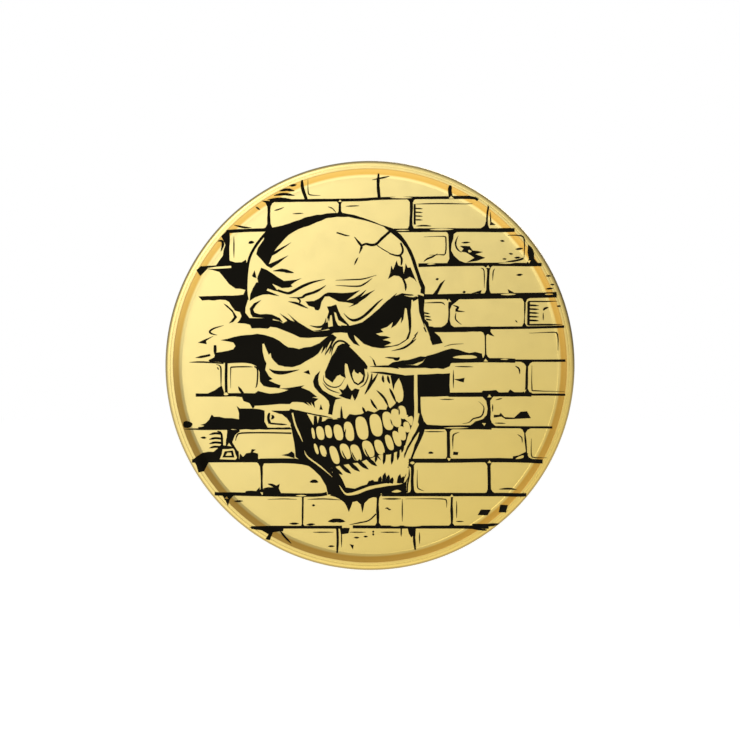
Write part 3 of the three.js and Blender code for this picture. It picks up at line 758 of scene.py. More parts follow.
def draw_mortar_right(pen):
    """Courses to the right of the skull."""
    pen.rule(0.32, (4.5, 9.32), (8, 9.38), (12, 9.4), (15.9, 9.35))
    pen.rule(0.5, (5, 6.38), (9, 6.42), (13, 6.48), (17.3, 6.55))
    pen.rule(0.46, (4.9, 3.32), (8, 3.34), (10, 3.38), (11.2, 3.42))
    pen.rule(0.24, (10.5, 3.48), (13, 3.5), (16, 3.55), (18, 3.6))
    pen.rule(0.4, (7.2, 0.4), (10, 0.48), (12, 0.48), (13.5, 0.44))
    pen.rule(0.22, (13, 0.46), (15, 0.44), (18.1, 0.45))
    pen.rule(0.4, (7.3, -2.72), (11, -2.7), (14, -2.68), (15, -2.7))
    pen.rule(0.2, (14.5, -2.72), (16, -2.7), (18.1, -2.72))
    pen.rule(0.36, (4.8, -5.77), (9, -5.75), (11.3, -5.78))
    pen.rule(0.2, (11, -5.72), (13, -5.74), (16.9, -5.75))
    pen.rule(0.38, (3.6, -8.85), (8, -8.85), (12, -8.8), (16, -8.9))
    pen.fill(
        (7.05, 12.5), (7.3, 12.2), (7.3, 11.4), (7.35, 10.6), (7.4, 9.9), (7.15, 9.45), (9.1, 9.4),
        (8.3, 9.75), (7.8, 10.2), (7.55, 10.7), (7.6, 11.3), (7.8, 12.2), (8.2, 12.5))
    pen.fill(
        (14.65, 11.2), (15, 10.9), (15.2, 10.4), (15.2, 9.9), (15.5, 9.5), (15.9, 9.35), (14.5, 9.4),
        (14.75, 9.9), (14.6, 10.5))
    pen.fill(
        (7, 6.25), (8.4, 6.25), (7.95, 5.9), (7.62, 5.6), (7.43, 5.2), (7.42, 4.2), (7.55, 3.8), (7.9, 3.5),
        (6.5, 3.5), (6.95, 3.7), (7.2, 4), (7.3, 5), (7.28, 5.9))
    pen.fill(
        (10.4, -2.85), (10.8, -3.3), (10.95, -4), (10.85, -4.6), (10.5, -5), (9.8, -5.2), (9.5, -5.5),
        (9.1, -5.7), (11.7, -5.7), (11.3, -5.3), (11.2, -4.9), (11.2, -3.3), (11.5, -2.85))
    joint(pen, 0.26, (11, 9.3), (10.95, 6.6), 0.4)
    joint(pen, 0.12, (14.4, 6.3), (14.35, 3.5), 0.45)
    joint(pen, 0.13, (10.72, 3.2), (10.75, 0.6), 0.45)
    joint(pen, 0.24, (14.6, 0.35), (14.55, -2.6), 0.45)
    joint(pen, 0.3, (7.28, -5.9), (7.3, -8.75), 0.3)
    joint(pen, 0.12, (14.4, -5.8), (14.55, -8.7), 0.5)
    joint(pen, 0.24, (3.95, -9), (3.95, -11.85), 0.3)
    joint(pen, 0.3, (11.05, -8.9), (11.1, -11.9), 0.4)
    pen.fill((10.8, 3.2), (11.15, 3.15), (11.55, 2.7), (11.2, 2.8), (10.95, 2.95))
    # Worn edges inside the bricks
    pen.line(0.12, (5, 11.95), (6.8, 12), (7.05, 11.7), (7, 10.4), (6.5, 10.3), (5.5, 10.25))
    pen.line(0.16, (5, 9.65), (5.3, 9.9), (5.8, 10.1), (6.3, 10.4))
    pen.line(0.16, (8.2, 12.05), (7.95, 11.4), (8.1, 10.85), (8.5, 10.5))
    pen.line(0.12, (12.8, 12.08), (14, 12.02), (14.3, 11.6), (14.3, 9.9))
    pen.line(0.18, (14.25, 9.95), (13.6, 9.75), (12.6, 9.62), ends=(1, 0.2))
    pen.line(0.1, (10.3, 9.05), (10.6, 8.8), (10.62, 7.2))
    pen.line(0.1, (11.6, 9), (11.45, 8.7), (11.4, 7.9))
    pen.line(0.12, (5, 5.8), (6.6, 5.85), (6.95, 5.6))
    pen.line(0.12, (8, 4.9), (7.95, 4.3), (8.5, 3.8))
    pen.line(0.1, (13.5, 4.2), (13.7, 4))
    pen.line(0.09, (14.8, 3), (16.8, 3.08), (17.4, 2.9), (17.45, 1.4))
    pen.line(0.14, (13.5, -0.05), (13.85, -0.3), (13.92, -0.8))
    pen.line(0.1, (15.05, 0), (15.05, -2.1), (15.4, -2.35), (18, -2.42))
    pen.line(0.1, (7.9, -0.1), (9.6, -0.12))
    pen.line(0.1, (7.75, -0.4), (7.75, -2.1))
    pen.line(0.1, (6.5, -3.15), (7.8, -3.15))
    pen.line(
        0.13, (10.1, -3.35), (10.55, -3.8), (10.55, -4.3), (10.3, -4.75), (9.6, -4.95), (9.2, -5.3),
        (8.6, -5.4))
    pen.line(0.1, (11.6, -5.35), (12.6, -5.38))
    pen.line(0.1, (11.7, -3.2), (12.3, -3.05))
    pen.line(0.1, (11.4, -3.6), (11.4, -4.3))
    pen.line(0.1, (5, -6.15), (6.9, -6.15))
    pen.line(0.13, (8.3, -6.2), (7.8, -6.4), (7.7, -6.8), (7.7, -7.8))
    pen.line(0.1, (13.7, -6.4), (14.1, -6.7), (14.15, -7.2))
    pen.line(0.1, (15, -6.8), (15, -8.3), (15.3, -8.55), (16.4, -8.55))
    pen.line(0.1, (4.4, -9.7), (4.4, -11.2), (4.6, -11.5), (5, -11.65))
    # Chips along the lines
    pen.lens((12.1, 6.6), (12.85, 6.7), (13.6, 6.62), (12.85, 6.52))
    pen.lens((16.2, 6.6), (16.6, 6.68), (17, 6.6), (16.6, 6.54))
    pen.lens((12.1, 0.57), (12.5, 0.63), (12.9, 0.57), (12.5, 0.52))
    pen.lens((6.8, -5.8), (8, -5.72), (9.2, -5.78), (8, -5.86))
    pen.lens((5.3, 9.42), (5.6, 9.5), (6.1, 9.45), (5.6, 9.36))
    pen.lens((11.9, 9.48), (13, 9.58), (14.1, 9.7), (13, 9.46))
    for x, z, up in ((10.95, 9.2, 1), (7.35, 6.05, 1), (10.75, 0.5, 1), (11.1, -2.82, 1), (10.6, -5.5, -1),
                     (7.35, -8.75, -1), (11.1, -8.95, 1), (14.35, -2.4, -1), (14.75, 9.6, -1)):
        pen.bare((x - 0.2, z - 0.14 * up), (x + 0.2, z - 0.14 * up), (x, z + 0.14 * up))
    # Comb and broken brick end on the right
    pen.rule(0.24, (14.75, 5.9), (14.72, 3.75))
    for z in (5.6, 5.25, 4.9, 4.55, 4.2):
        pen.line(0.16, (14.75, z), (15.7, z - 0.04), ends=(1, 0.1))
    pen.line(0.12, (14.7, 5.95), (17.4, 5.95), ends=(1, 0.1))
    pen.line(0.16, (14.7, 3.78), (17.8, 3.8), ends=(1, 0.1))
    pen.line(0.2, (16.6, 5.4), (16.25, 5.3), (16.1, 5.1))
    pen.line(0.1, (16.1, 4.9), (16.1, 4.2))
    # Splashes and chips on the bricks
    pen.fill(
        (8.35, 11.1), (9.3, 11.1), (9.55, 10.7), (10.5, 10.55), (9.8, 10.35), (10.7, 10.02), (9.9, 9.7),
        (9, 9.6), (9.7, 10), (8.9, 10.55), (8.45, 10.6), (8.7, 10.85))
    pen.lens((9.1, 10.65), (9.25, 10.75), (9.45, 10.6), (9.25, 10.5))
    pen.line(0.16, (8.5, 11.4), (9.3, 11.45))
    pen.line(0.16, (12.1, 11.6), (12.5, 11.55))
    pen.line(0.16, (12.9, 10.4), (13.3, 10.35))
    pen.line(0.18, (13.5, 10.8), (14.2, 10.85))
    pen.line(0.18, (13.4, 10), (14, 10.05))
    pen.line(0.14, (12.3, 9.9), (12.7, 9.9))
    pen.line(0.2, (13.6, 8.4), (14.2, 8.45))
    pen.fill((12.8, 7.1), (13.4, 6.8), (12.9, 6.7))
    pen.fill((7, 8), (6.5, 7.6), (6.2, 7.1), (5.8, 6.6), (6.3, 6.6), (6.5, 7.1))
    pen.line(0.2, (6.1, 8), (6.4, 8.05))
    pen.line(0.2, (8.6, 6.8), (8.9, 6.85))
    pen.line(0.16, (16.3, 7.1), (17, 7.15))
    pen.line(0.14, (16.7, 7.5), (17.1, 7.5))
    pen.line(0.14, (16.3, 8.3), (16.8, 8.3))
    pen.line(0.16, (17.3, 5.5), (17.7, 5.5))
    pen.line(0.22, (7.7, 5.6), (8.2, 5.4), (8, 5.1), (8.8, 5))
    pen.fill((10.3, -2.55), (10.5, -2.35), (11.7, -2.3), (12.05, -2.55))
    pen.fill((12.8, -2.55), (13, -2.25), (13.5, -2.55))
    pen.fill((7.8, -1.3), (8.8, -1.15), (8.7, -1.55), (8.3, -1.5))
    pen.fill((9.4, 6.7), (9.9, 6.85), (10.4, 7), (10.3, 6.7))
    pen.line(0.2, (5.4, -8.15), (5.65, -8.1), (5.9, -8.15))
    pen.fill((7.7, -8.3), (7.75, -8), (8.2, -8.05), (8.15, -8.3))
    pen.line(0.16, (12, -11.5), (12.8, -11.45), (13.6, -11.5))
    pen.fill((13.25, -8.8), (13.3, -8.45), (13.8, -8.35), (14.5, -8), (14.7, -8.2), (14.5, -8.8))
    pen.lens((13.55, -8.7), (13.75, -8.5), (14.25, -8.35), (14.2, -8.6))
    pen.fill(
        (11.5, -4.6), (12, -4.6), (12.15, -4.4), (12.5, -4.8), (13.4, -4.85), (14, -4.3), (14.6, -4.25),
        (14.95, -4.9), (12.6, -5), (12.2, -4.75), (11.5, -4.85))
    for x, z in ((5, 4.9), (5.1, 4.6), (5.2, 4.3)):
        pen.line(0.14, (x, z), (x + 0.55, z - 0.1), ends=(1, 0.1))


def draw_mortar_bottom(pen):
    """Courses below the skull."""
    pen.rule(0.32, (-14.4, -11.9), (-10, -12), (-5.2, -12.05), (-4, -11.9))
    pen.rule(0.32, (1.1, -12), (5, -12), (9, -12), (14.5, -12))
    pen.rule(0.26, (-11, -15.03), (-6, -15.03), (-2.6, -15.03))
    pen.rule(0.28, (-1.6, -15), (3, -15.02), (7, -15.02), (11, -15))
    joint(pen, 0.22, (-10.1, -8.9), (-10.05, -11.95), 0.5)
    pen.line(0.4, (-13.4, -12), (-13.2, -12.6), ends=(1.4, 0.1))
    joint(pen, 0.16, (-6.24, -12.05), (-6.28, -14.98), 0.25)
    joint(pen, 0.24, (0.72, -12), (0.72, -14.95), 0.35)
    pen.line(0.1, (3, -12.4), (3, -14.5))
    joint(pen, 0.22, (7.6, -12), (7.6, -14.95), 0.3)
    pen.line(0.22, (-3.05, -15), (-3, -16.2), (-3.05, -17.4), ends=(1, 0.6))
    pen.line(0.1, (-2.65, -15.3), (-2.65, -16.9))
    pen.line(0.24, (4.15, -15), (4.1, -16), (4.2, -17.1), ends=(1.2, 0.6))
    pen.line(0.07, (-9.5, -12.45), (-8, -12.4), (-6.8, -12.45))
    pen.line(0.12, (-1.9, -14.8), (-1, -14.62), (-0.1, -14.4), (0.55, -13.8), ends=(0.2, 1))
    pen.fill((-13.7, -12), (-12.6, -12), (-13, -12.45), (-13.15, -13), (-13.4, -12.5))
    pen.fill(
        (-11.2, -15), (-8, -15.05), (-8.3, -15.4), (-9, -15.45), (-9.3, -16.2), (-9.7, -16.1),
        (-9.4, -15.65), (-10, -15.3), (-10.8, -15.2))
    pen.line(0.1, (-5.8, -12.45), (-4.3, -12.4), (-2.7, -12.5))
    pen.line(0.14, (1.15, -12.4), (2.9, -12.4))
    pen.line(0.1, (3.3, -12.4), (6.6, -12.4), (7.1, -12.6), (7.1, -13.2))
    pen.line(0.1, (8.05, -12.6), (8.05, -14.2))
    pen.line(0.1, (8, -14.5), (8.7, -14.5))
    pen.line(0.1, (-5.3, -15.5), (-3.4, -15.5))
    pen.line(0.1, (-1.9, -15.5), (-0.4, -15.5))
    pen.line(0.1, (1, -15.5), (2.7, -15.5))
    pen.line(0.1, (4.6, -15.5), (4.6, -16.6))
    pen.lens((2.1, -11.65), (2.5, -11.58), (2.9, -11.65), (2.5, -11.72))
    pen.lens((1.9, -14.9), (2.35, -14.84), (2.8, -14.9), (2.35, -14.96))
    pen.lens((3.1, -14.9), (3.9, -14.83), (4.8, -14.9), (3.9, -14.97))
    pen.lens((-6.9, -12.1), (-6.4, -12.02), (-5.9, -12.1), (-6.4, -12.18))
    for x, z, up in ((7.6, -12.1, 1), (-10, -11.9, -1), (-13.3, -12.25, 1)):
        pen.bare((x - 0.2, z - 0.12 * up), (x + 0.2, z - 0.12 * up), (x, z + 0.14 * up))
    # Chips and splashes
    pen.line(0.14, (1.4, -13.3), (1.6, -13.25), (1.8, -13.4), (1.95, -13.35))
    pen.line(0.3, (-5.6, -10.85), (-5.2, -10.75), (-4.8, -10.85))
    pen.line(0.26, (-9.5, -11), (-8.9, -11.2), (-8.4, -11.6))
    pen.line(0.36, (-3.9, -14.5), (-3.1, -14.4), (-2.3, -14.5))
    pen.line(0.2, (-5.4, -13), (-5.1, -13))
    pen.line(0.2, (-5.9, -14.8), (-5.1, -14.75))
    pen.line(0.2, (-7.5, -14.7), (-6.6, -14.7))
    pen.fill((-9.3, -15.1), (-8, -15.1), (-8.1, -15.4), (-9, -15.45))
    pen.line(0.16, (-8.4, -15.3), (-7.9, -15.9), (-7.3, -16.5))
    pen.fill((-2.8, -15.1), (-1.9, -15.1), (-2, -15.6), (-2.7, -15.7))
    pen.fill((-1.9, -16.6), (-1.5, -16.7), (-1.6, -17.1))
    pen.line(0.16, (-3.9, -16.8), (-3.3, -16.8))
    pen.line(0.16, (-1.5, -16), (-1, -16))
    pen.line(0.16, (-0.6, -15.9), (-0.2, -15.9))
    pen.line(0.2, (0.2, -15.45), (0.4, -15.45))
    pen.line(0.2, (0.2, -15.7), (0.4, -15.7))
    pen.fill((3.5, -15.1), (4.15, -15.1), (4.1, -15.7), (3.8, -16), (3.6, -15.6))
    pen.line(0.14, (2.9, -15.1), (2.9, -15.9), ends=(1, 0.1))
    pen.fill((10, -13.9), (10.3, -13.4), (11.2, -13.4), (10.9, -13.9))
    pen.fill((11.9, -13.6), (12.1, -12.95), (12.8, -12.95), (12.6, -13.6))
    pen.line(0.28, (9.5, -14.85), (11, -14.8), (12, -14.7), ends=(1, 0.1))
    pen.line(0.14, (9.5, -15.15), (11.2, -15.3))
    pen.line(0.16, (-12.6, -12.6), (-11.8, -12.6))


def draw_breach_upper_left(pen):
    """The hole in the wall above and beside the crown."""
    pen.fill(
        (-15.9, 8.95), (-15.6, 9.2), (-14.3, 9.3), (-13.7, 10.2), (-13.45, 11.2), (-13.8, 12), (-13.3, 12.4),
        (-13, 12.3), (-13.08, 11), (-13.05, 9.75), (-12.5, 9.58), (-11.9, 9.6), (-11.5, 9.85), (-11.35, 9),
        (-11.5, 7.9), (-11.55, 7.05), (-12.5, 7.15), (-13.1, 7.6), (-13.5, 8.1), (-14, 8.7), (-14.6, 8.85),
        (-15.2, 9))
    pen.scratch(0.2, (-15.1, 9.02), (-14, 9.1), (-12.9, 9.17), ends=(0.3, 1))
    pen.fill((-16.1, 8.85), (-15.75, 8.3), (-15.1, 9), (-15.6, 9.2))
    pen.line(0.12, (-12.65, 12), (-12.65, 10))
    pen.line(0.26, (-11.3, 11.35), (-11.05, 11.45), (-10.75, 11.45))
    pen.line(0.22, (-14.1, 11.5), (-13.75, 11.55), (-13.65, 11.2), (-13.85, 10.6))
    pen.fill(
        (-15.95, 6.42), (-13.4, 6.5), (-12.3, 6.5), (-11.8, 6.6), (-11.6, 6.9), (-11.45, 7.2), (-11.35, 6),
        (-11.6, 5.4), (-11.6, 4.9), (-11.2, 4.4), (-9, 4.4), (-9.2, 3.7), (-9.4, 3.5), (-11, 3.45),
        (-11.15, 3.75), (-11.6, 3.9), (-12.35, 3.95), (-12.1, 4.2), (-11.95, 4.6), (-12.1, 4.95),
        (-12.55, 5.1), (-13.1, 5.9), (-13.4, 6.1), (-15.6, 6.05))
    pen.line(0.16, (-13.6, 5.75), (-13.1, 5.35), (-12.75, 5), ends=(0.1, 1))
    pen.fill(
        (-12.85, 5.1), (-12.7, 5), (-12.35, 4.5), (-12.7, 4.05), (-13.1, 3.9), (-12.9, 4.2), (-12.65, 4.5))


def draw_breach_left(pen):
    """The hole in the wall level with the cheek."""
    pen.line(0.18, (-13.6, 3.72), (-14.5, 3.45), (-14.9, 3.15), (-14.7, 2.95), (-14.2, 2.82))
    pen.fill((-16, 2.1), (-15.2, 1.98), (-15.25, 2.3), (-14.5, 2.75), (-15.3, 2.45))
    pen.fill(
        (-13.9, 2.35), (-12, 2.78), (-10.5, 2.92), (-9.8, 2.87), (-9, 2.6), (-8.4, 2.3), (-8, 1.95),
        (-7.6, 1.7), (-7.6, 0), (-8, -0.1), (-8.5, 0.05), (-8.9, 0.4), (-9.15, 0.75), (-9.25, 1.2),
        (-9.4, 1), (-9.65, 1.55), (-9.85, 2.05), (-10, 2), (-9.95, 1.3), (-9.8, 0.6), (-9.65, 0.2),
        (-9.75, -0.4), (-9.4, -1), (-9.05, -1.25), (-9.4, -1.38), (-8.8, -1.7), (-8.3, -1.85), (-8.4, -2.1),
        (-9.3, -2.05), (-9.9, -1.9), (-10.2, -1.5), (-10.28, -0.6), (-10.4, -0.35), (-10.6, -0.05),
        (-11, 0.18), (-12, 0.25), (-13.3, 0.2), (-13.9, 0.3), (-14.9, 0.35), (-15, 0.5), (-14.5, 0.75),
        (-14.35, 1.2), (-13.2, 1.35), (-12.7, 1.5), (-12.5, 1.8), (-12.7, 2.1), (-13.2, 2.25))
    pen.line(0.28, (-14.4, 1.9), (-14.4, 1.5), (-14.4, 1), ends=(0.7, 0.3))
    pen.line(0.22, (-16.2, 0.72), (-15.4, 0.85), (-14.85, 0.98), ends=(0.1, 0.8))
    pen.line(0.14, (-16.8, 0.3), (-15.5, 0.32), (-13.6, 0.2), ends=(0.1, 1))
    pen.rule(0.26, (-13.35, 0.25), (-13.38, -1.2), (-13.35, -2.7))
    pen.line(0.14, (-14.3, 0.1), (-13.9, -0.1), (-13.85, -0.9), (-13.85, -2.3))
    pen.line(0.12, (-14.2, -0.15), (-14.05, -0.4))
    pen.line(0.3, (-16.2, -2.75), (-14, -2.75), (-12.5, -2.72), (-10.2, -2.75), ends=(1, 1))
    pen.fill((-15.1, -2.6), (-14.4, -2.3), (-14, -1.95), (-13.75, -1.9), (-13.5, -2.7))
    pen.line(0.12, (-12.95, -2.1), (-12.95, -0.4), (-12.75, -0.15), (-11.3, -0.12), (-10.9, -0.15))
    pen.line(0.14, (-10.75, -0.1), (-10.45, -0.4), (-10.5, -1.7), (-10.65, -2.1), ends=(1, 0.1))
    pen.line(0.24, (-12.25, -1.95), (-12, -2.35), (-11.8, -2.6), ends=(0.1, 1))
    pen.lens((-13.6, -2.7), (-13.4, -2.5), (-13.15, -2.7), (-13.4, -2.78))


def draw_breach_lower_left(pen):
    """The hole in the wall beside the jaw."""
    pen.fill(
        (-12.6, -2.62), (-12, -2.6), (-11.5, -2.75), (-10.9, -2.75), (-10.4, -2.35), (-9.3, -2.65),
        (-8.5, -2.55), (-7.6, -2.3), (-7.9, -3.55), (-9.5, -3.68), (-10.7, -3.75), (-10.75, -3.9),
        (-10.9, -4), (-11.2, -3.5), (-11.75, -3.3), (-11.9, -2.95), (-12.4, -2.9))
    pen.fill(
        (-12.4, -3.8), (-12.1, -4), (-10.9, -4), (-10.2, -4.08), (-9.8, -4.2), (-9.8, -5.2), (-9.5, -5.75),
        (-7.5, -5.75), (-7.2, -5.95), (-15.9, -5.95), (-16, -5.6), (-15.3, -5.4), (-14.95, -5.05),
        (-14.7, -4.55), (-14.5, -4.75), (-13.5, -4.85), (-12.2, -5), (-12.15, -4.4))
    pen.line(0.16, (-17.2, -5.9), (-15, -5.92), (-13, -5.9), ends=(0.2, 1))
    pen.blob((-17.3, -5.3), (-17, -5.15), (-16.5, -5.4), (-16.7, -5.75), (-17.2, -5.75))
    pen.lens((-16.5, -5.62), (-15.9, -5.52), (-15.4, -5.62), (-15.9, -5.72))
    pen.line(0.34, (-13.1, -5.9), (-13.15, -6.7), (-13.35, -7.5), ends=(1.3, 0.3))
    pen.line(0.2, (-14.2, -6.1), (-13.8, -6.4), (-13.75, -7.7), ends=(0.3, 1))
    for z in (-6.35, -6.8, -7.2, -7.6):
        pen.line(0.2, (-13.85, z), (-14.4, z + 0.05), (-14.95, z - 0.08), ends=(1.2, 0.1))
    pen.line(0.34, (-12.15, -6), (-12.7, -6.4), (-12.9, -7.2), ends=(0.8, 0.3))
    pen.line(0.14, (-12.5, -7), (-12.35, -6.5), (-11.9, -6.28), (-9.5, -6.25), (-7.3, -6.3), ends=(0.3, 1))
    pen.line(0.2, (-15.75, -6.7), (-15.2, -6.72))
    pen.rule(0.32, (-16.5, -8.85), (-12, -8.85), (-10, -8.85))
    pen.rule(0.46, (-10.2, -8.88), (-7, -8.88), (-5.4, -9.2))
    pen.fill(
        (-9.95, -11.95), (-9.9, -11.4), (-9.5, -11.3), (-9, -11.35), (-8.4, -11), (-8.45, -11.4),
        (-8.25, -11.95))
    pen.fill((-11.75, -11.95), (-11.5, -11.66), (-10.6, -11.66), (-10.3, -11.3), (-10.2, -11.95))
    pen.fill(
        (-16.4, -8.7), (-16.1, -9.3), (-15.9, -9.95), (-15.4, -9.8), (-15, -9), (-13.8, -9), (-14.5, -8),
        (-15.6, -8.1))
    pen.fill((-14.6, -8.1), (-13.9, -7.4), (-12.9, -7.5), (-12.2, -8), (-12.2, -8.9), (-14.6, -9))
    pen.bare((-13.95, -8.72), (-13.7, -7.8), (-12.65, -7.7), (-12.35, -8.6), (-12.5, -8.78))
    pen.fill((-13.72, -8.55), (-13.5, -7.98), (-12.75, -7.9), (-12.6, -8.55))
    pen.bare((-13.42, -8.4), (-13.25, -8.12), (-12.92, -8.1), (-12.85, -8.4))
    pen.fill(
        (-13.2, -5.95), (-12.2, -5.95), (-12.75, -6.5), (-12.85, -7.1), (-12.5, -7.7), (-12.2, -8.1),
        (-12.2, -8.8), (-12.45, -8), (-12.75, -7.7), (-13.1, -7.2), (-13.15, -6.5))
    pen.fill(
        (-12.2, -8.8), (-12.1, -8.2), (-11.8, -8.5), (-11.5, -8.15), (-11.1, -8.1), (-11, -7.8),
        (-10.6, -7.85), (-10.9, -8.05), (-10.4, -8.2), (-10.4, -8.8))
    pen.fill((-8.2, -8.35), (-7.6, -8.2), (-7.3, -8), (-7, -8.2), (-7, -8.6))
    pen.fill(
        (-7.4, -4.05), (-7, -4.1), (-5.9, -4.4), (-5.3, -5.5), (-5.7, -6.3), (-5.7, -7.5), (-5.2, -8.6),
        (-3.8, -9.6), (-3.1, -10.3), (-2.75, -10.95), (-2.4, -12), (-3.9, -12), (-4.1, -11.2), (-4.6, -10.3),
        (-5.2, -9.7), (-5.9, -9.2), (-6.9, -8.5), (-7.05, -7.2), (-7.3, -5.9), (-7.5, -5.3), (-7.7, -4.9),
        (-8.3, -4.5), (-8.9, -4.35), (-9.2, -4.2), (-7.5, -4.2))
    pen.scratch(0.17, (-7.22, -4.4), (-6.95, -5.5), (-6.6, -6.3), (-6.25, -7.1), ends=(0.9, 0.2))
    pen.scratch(0.14, (-6.1, -7.9), (-5.8, -8.5), (-4.6, -9.4), (-3.4, -10.45))


def draw_breach_right(pen):
    """The dark beside the jaw and under the cheekbone."""
    pen.fill(
        (2.6, -0.95), (4.6, -0.85), (7.4, -0.72), (7.42, -2.85), (6, -2.9), (4.7, -2.92), (4.75, -4.4),
        (5, -5.2), (5.3, -5.5), (6.8, -5.6), (6.8, -5.85), (5.1, -5.9), (5, -6.3), (4.6, -7.2), (4.2, -8),
        (4, -8.6), (4, -12), (3.8, -12), (3.8, -9.5), (3.55, -9.3), (3.75, -8.7), (4, -7.9), (4.35, -6.9),
        (4.6, -6.2), (4.45, -6.1), (3.9, -7), (3.4, -7.9), (3.1, -8.5), (3.3, -7.8), (4.2, -6.2),
        (4.55, -5.5), (4.4, -5.4), (4.6, -4.5), (4.5, -4.4), (4.3, -5), (4.1, -5.6), (3.6, -6.6),
        (3.3, -7.3), (3, -7), (3, -3.8), (3.05, -3.3), (3.1, -2.4), (2.95, -1.7), (2.75, -1.3))
    pen.scratch(
        0.32, (4.25, -0.8), (4.25, -2.5), (4.28, -4), (4.2, -5.1), (3.9, -6), (3.5, -6.9), (3.2, -7.7),
        ends=(1, 0.4))
    pen.bare(
        (4.45, -4.4), (4.6, -4.5), (4.45, -5.2), (4.55, -5.5), (4.1, -6.3), (3.5, -7.5), (3, -8.5),
        (2.9, -8), (3.4, -7), (4, -5.9), (4.3, -5.2))
    pen.line(0.16, (4.5, -6.1), (3.9, -7), (3.4, -7.9), (3.2, -8.6), ends=(1, 0.1))
    pen.lens((3.72, -9.05), (3.95, -8.92), (4.15, -9.05), (3.95, -9.2))
    pen.line(0.14, (3.55, -9.4), (3.65, -10.2), (3.5, -11), (3.45, -11.8), ends=(1, 1))
    pen.fill((3.4, -10.9), (3.4, -12), (2.9, -12), (3.1, -11.2))


def draw_cranium(pen):
    """The crown's outline and its shading."""
    pen.line(
        0.24, (-9.5, 12.5), (-10.5, 11.3), (-11.2, 10), (-11.45, 8.5), (-11.5, 7), (-11.35, 6.1),
        ends=(1, 0.6))
    pen.fill(
        (-9.6, 12.6), (-9.2, 12.8), (-8.2, 12.98), (-7, 13.4), (-6, 13.75), (-5, 13.98), (-4, 14.12),
        (-3, 14.2), (-2, 14.1), (-1, 13.85), (0, 13.5), (1, 13.1), (2.1, 12.75), (2.85, 12.2), (3.38, 11.5),
        (3.82, 10.7), (4.18, 9.9), (4.45, 9.1), (4.74, 8.1), (5.1, 7.3), (5.1, 6.6), (4.65, 6.75),
        (4.75, 7.25), (4.55, 7.7), (4.35, 8.4), (4.08, 9.2), (3.8, 10), (3.4, 10.8), (2.95, 11.45),
        (2.3, 12.1), (1.25, 12.9), (0, 13.35), (-1, 13.6), (-2, 13.8), (-3, 13.82), (-4, 13.68), (-5, 13.3),
        (-5.7, 13), (-6.6, 12.7), (-7.6, 12.1), (-8.3, 11.4), (-8.9, 10.6), (-8.2, 11), (-7.3, 11.45),
        (-8.3, 10.7), (-9.1, 10.2), (-9.4, 9.4), (-8.6, 9.75), (-7.6, 10.25), (-8.5, 9.5), (-9.2, 9.05),
        (-9.6, 9.25), (-10.1, 9.8), (-10.6, 10.35), (-10.4, 10.9), (-9.9, 11.7))
    pen.fill(
        (-10.1, 9.1), (-9.6, 8.9), (-9.1, 8.55), (-8.6, 8.2), (-8, 7.88), (-7.4, 7.88), (-6.35, 8.12),
        (-7, 7.75), (-7.35, 7.5), (-7.2, 7.35), (-7.6, 7.22), (-8.2, 7.2), (-9.1, 7.6), (-8.6, 7),
        (-7.7, 6.62), (-9.5, 7.15), (-9.6, 7), (-8.4, 6.45), (-9.4, 6.6), (-10, 6.6), (-10.7, 6.3),
        (-11.2, 6), (-11.1, 6.6), (-10.9, 7.2), (-10.55, 7.7), (-10.45, 8.3))
    pen.fill((-10.95, 8.3), (-10.7, 8.85), (-10.55, 8.1), (-10.8, 8.2))
    pen.bare((-10.62, 8.1), (-10.45, 8.1), (-10.4, 7.75), (-10.6, 7.7))
    pen.line(0.3, (-9, 8.78), (-8.2, 8.85), (-7.7, 8.75), (-7.1, 8.62), ends=(0.1, 0.2))


def draw_forehead_crack(pen):
    """Cracks across the forehead, and the break over the right brow."""
    pen.line(0.14, (-3.1, 12.35), (-2.6, 12.2), (-2.3, 12.1), (-1.9, 12.05), ends=(0.9, 0.2))
    pen.line(0.22, (-1.45, 11.95), (-1.1, 11.5), (-0.8, 11.1), (-0.85, 10.8), (-1, 10.4), ends=(0.2, 0.2))
    pen.line(0.14, (-1.1, 10.05), (-1.3, 9.7), (-1.45, 9.35))
    pen.line(
        0.24, (-0.85, 11.1), (-0.4, 11.3), (0.1, 11.2), (0.6, 11.3), (1.1, 11.8), (1.5, 12.15), (2, 12.6),
        ends=(0.7, 1))
    pen.line(0.08, (0.6, 11.2), (1.2, 10.8), (1.9, 10.4), ends=(0.8, 1))
    pen.line(0.2, (1.8, 10.4), (2.6, 10.2), (2.95, 10.4), (3.05, 10.8), (2.85, 11.4), ends=(0.5, 0.8))
    pen.line(0.2, (2.75, 10.25), (2.95, 9.9), (2.9, 9.3), ends=(1, 0.5))
    pen.fill(
        (1.65, 8.05), (1.9, 8.6), (2, 9.3), (2.15, 8.9), (2.45, 9.75), (2.6, 9.3), (2.8, 9.2), (3.05, 9.2),
        (3.15, 8.5), (3.3, 9.5), (3.5, 9.1), (3.75, 9.1), (4, 8.5), (4.35, 7.75), (4.1, 8), (3.7, 8.25),
        (3.4, 8.1), (3.1, 8), (2.7, 8.3), (2.3, 8.35), (2.9, 8.45), (2.2, 8.35))
    pen.line(0.2, (3.05, 8.1), (3.3, 7.5), (3.3, 6.95), ends=(1, 0.2))


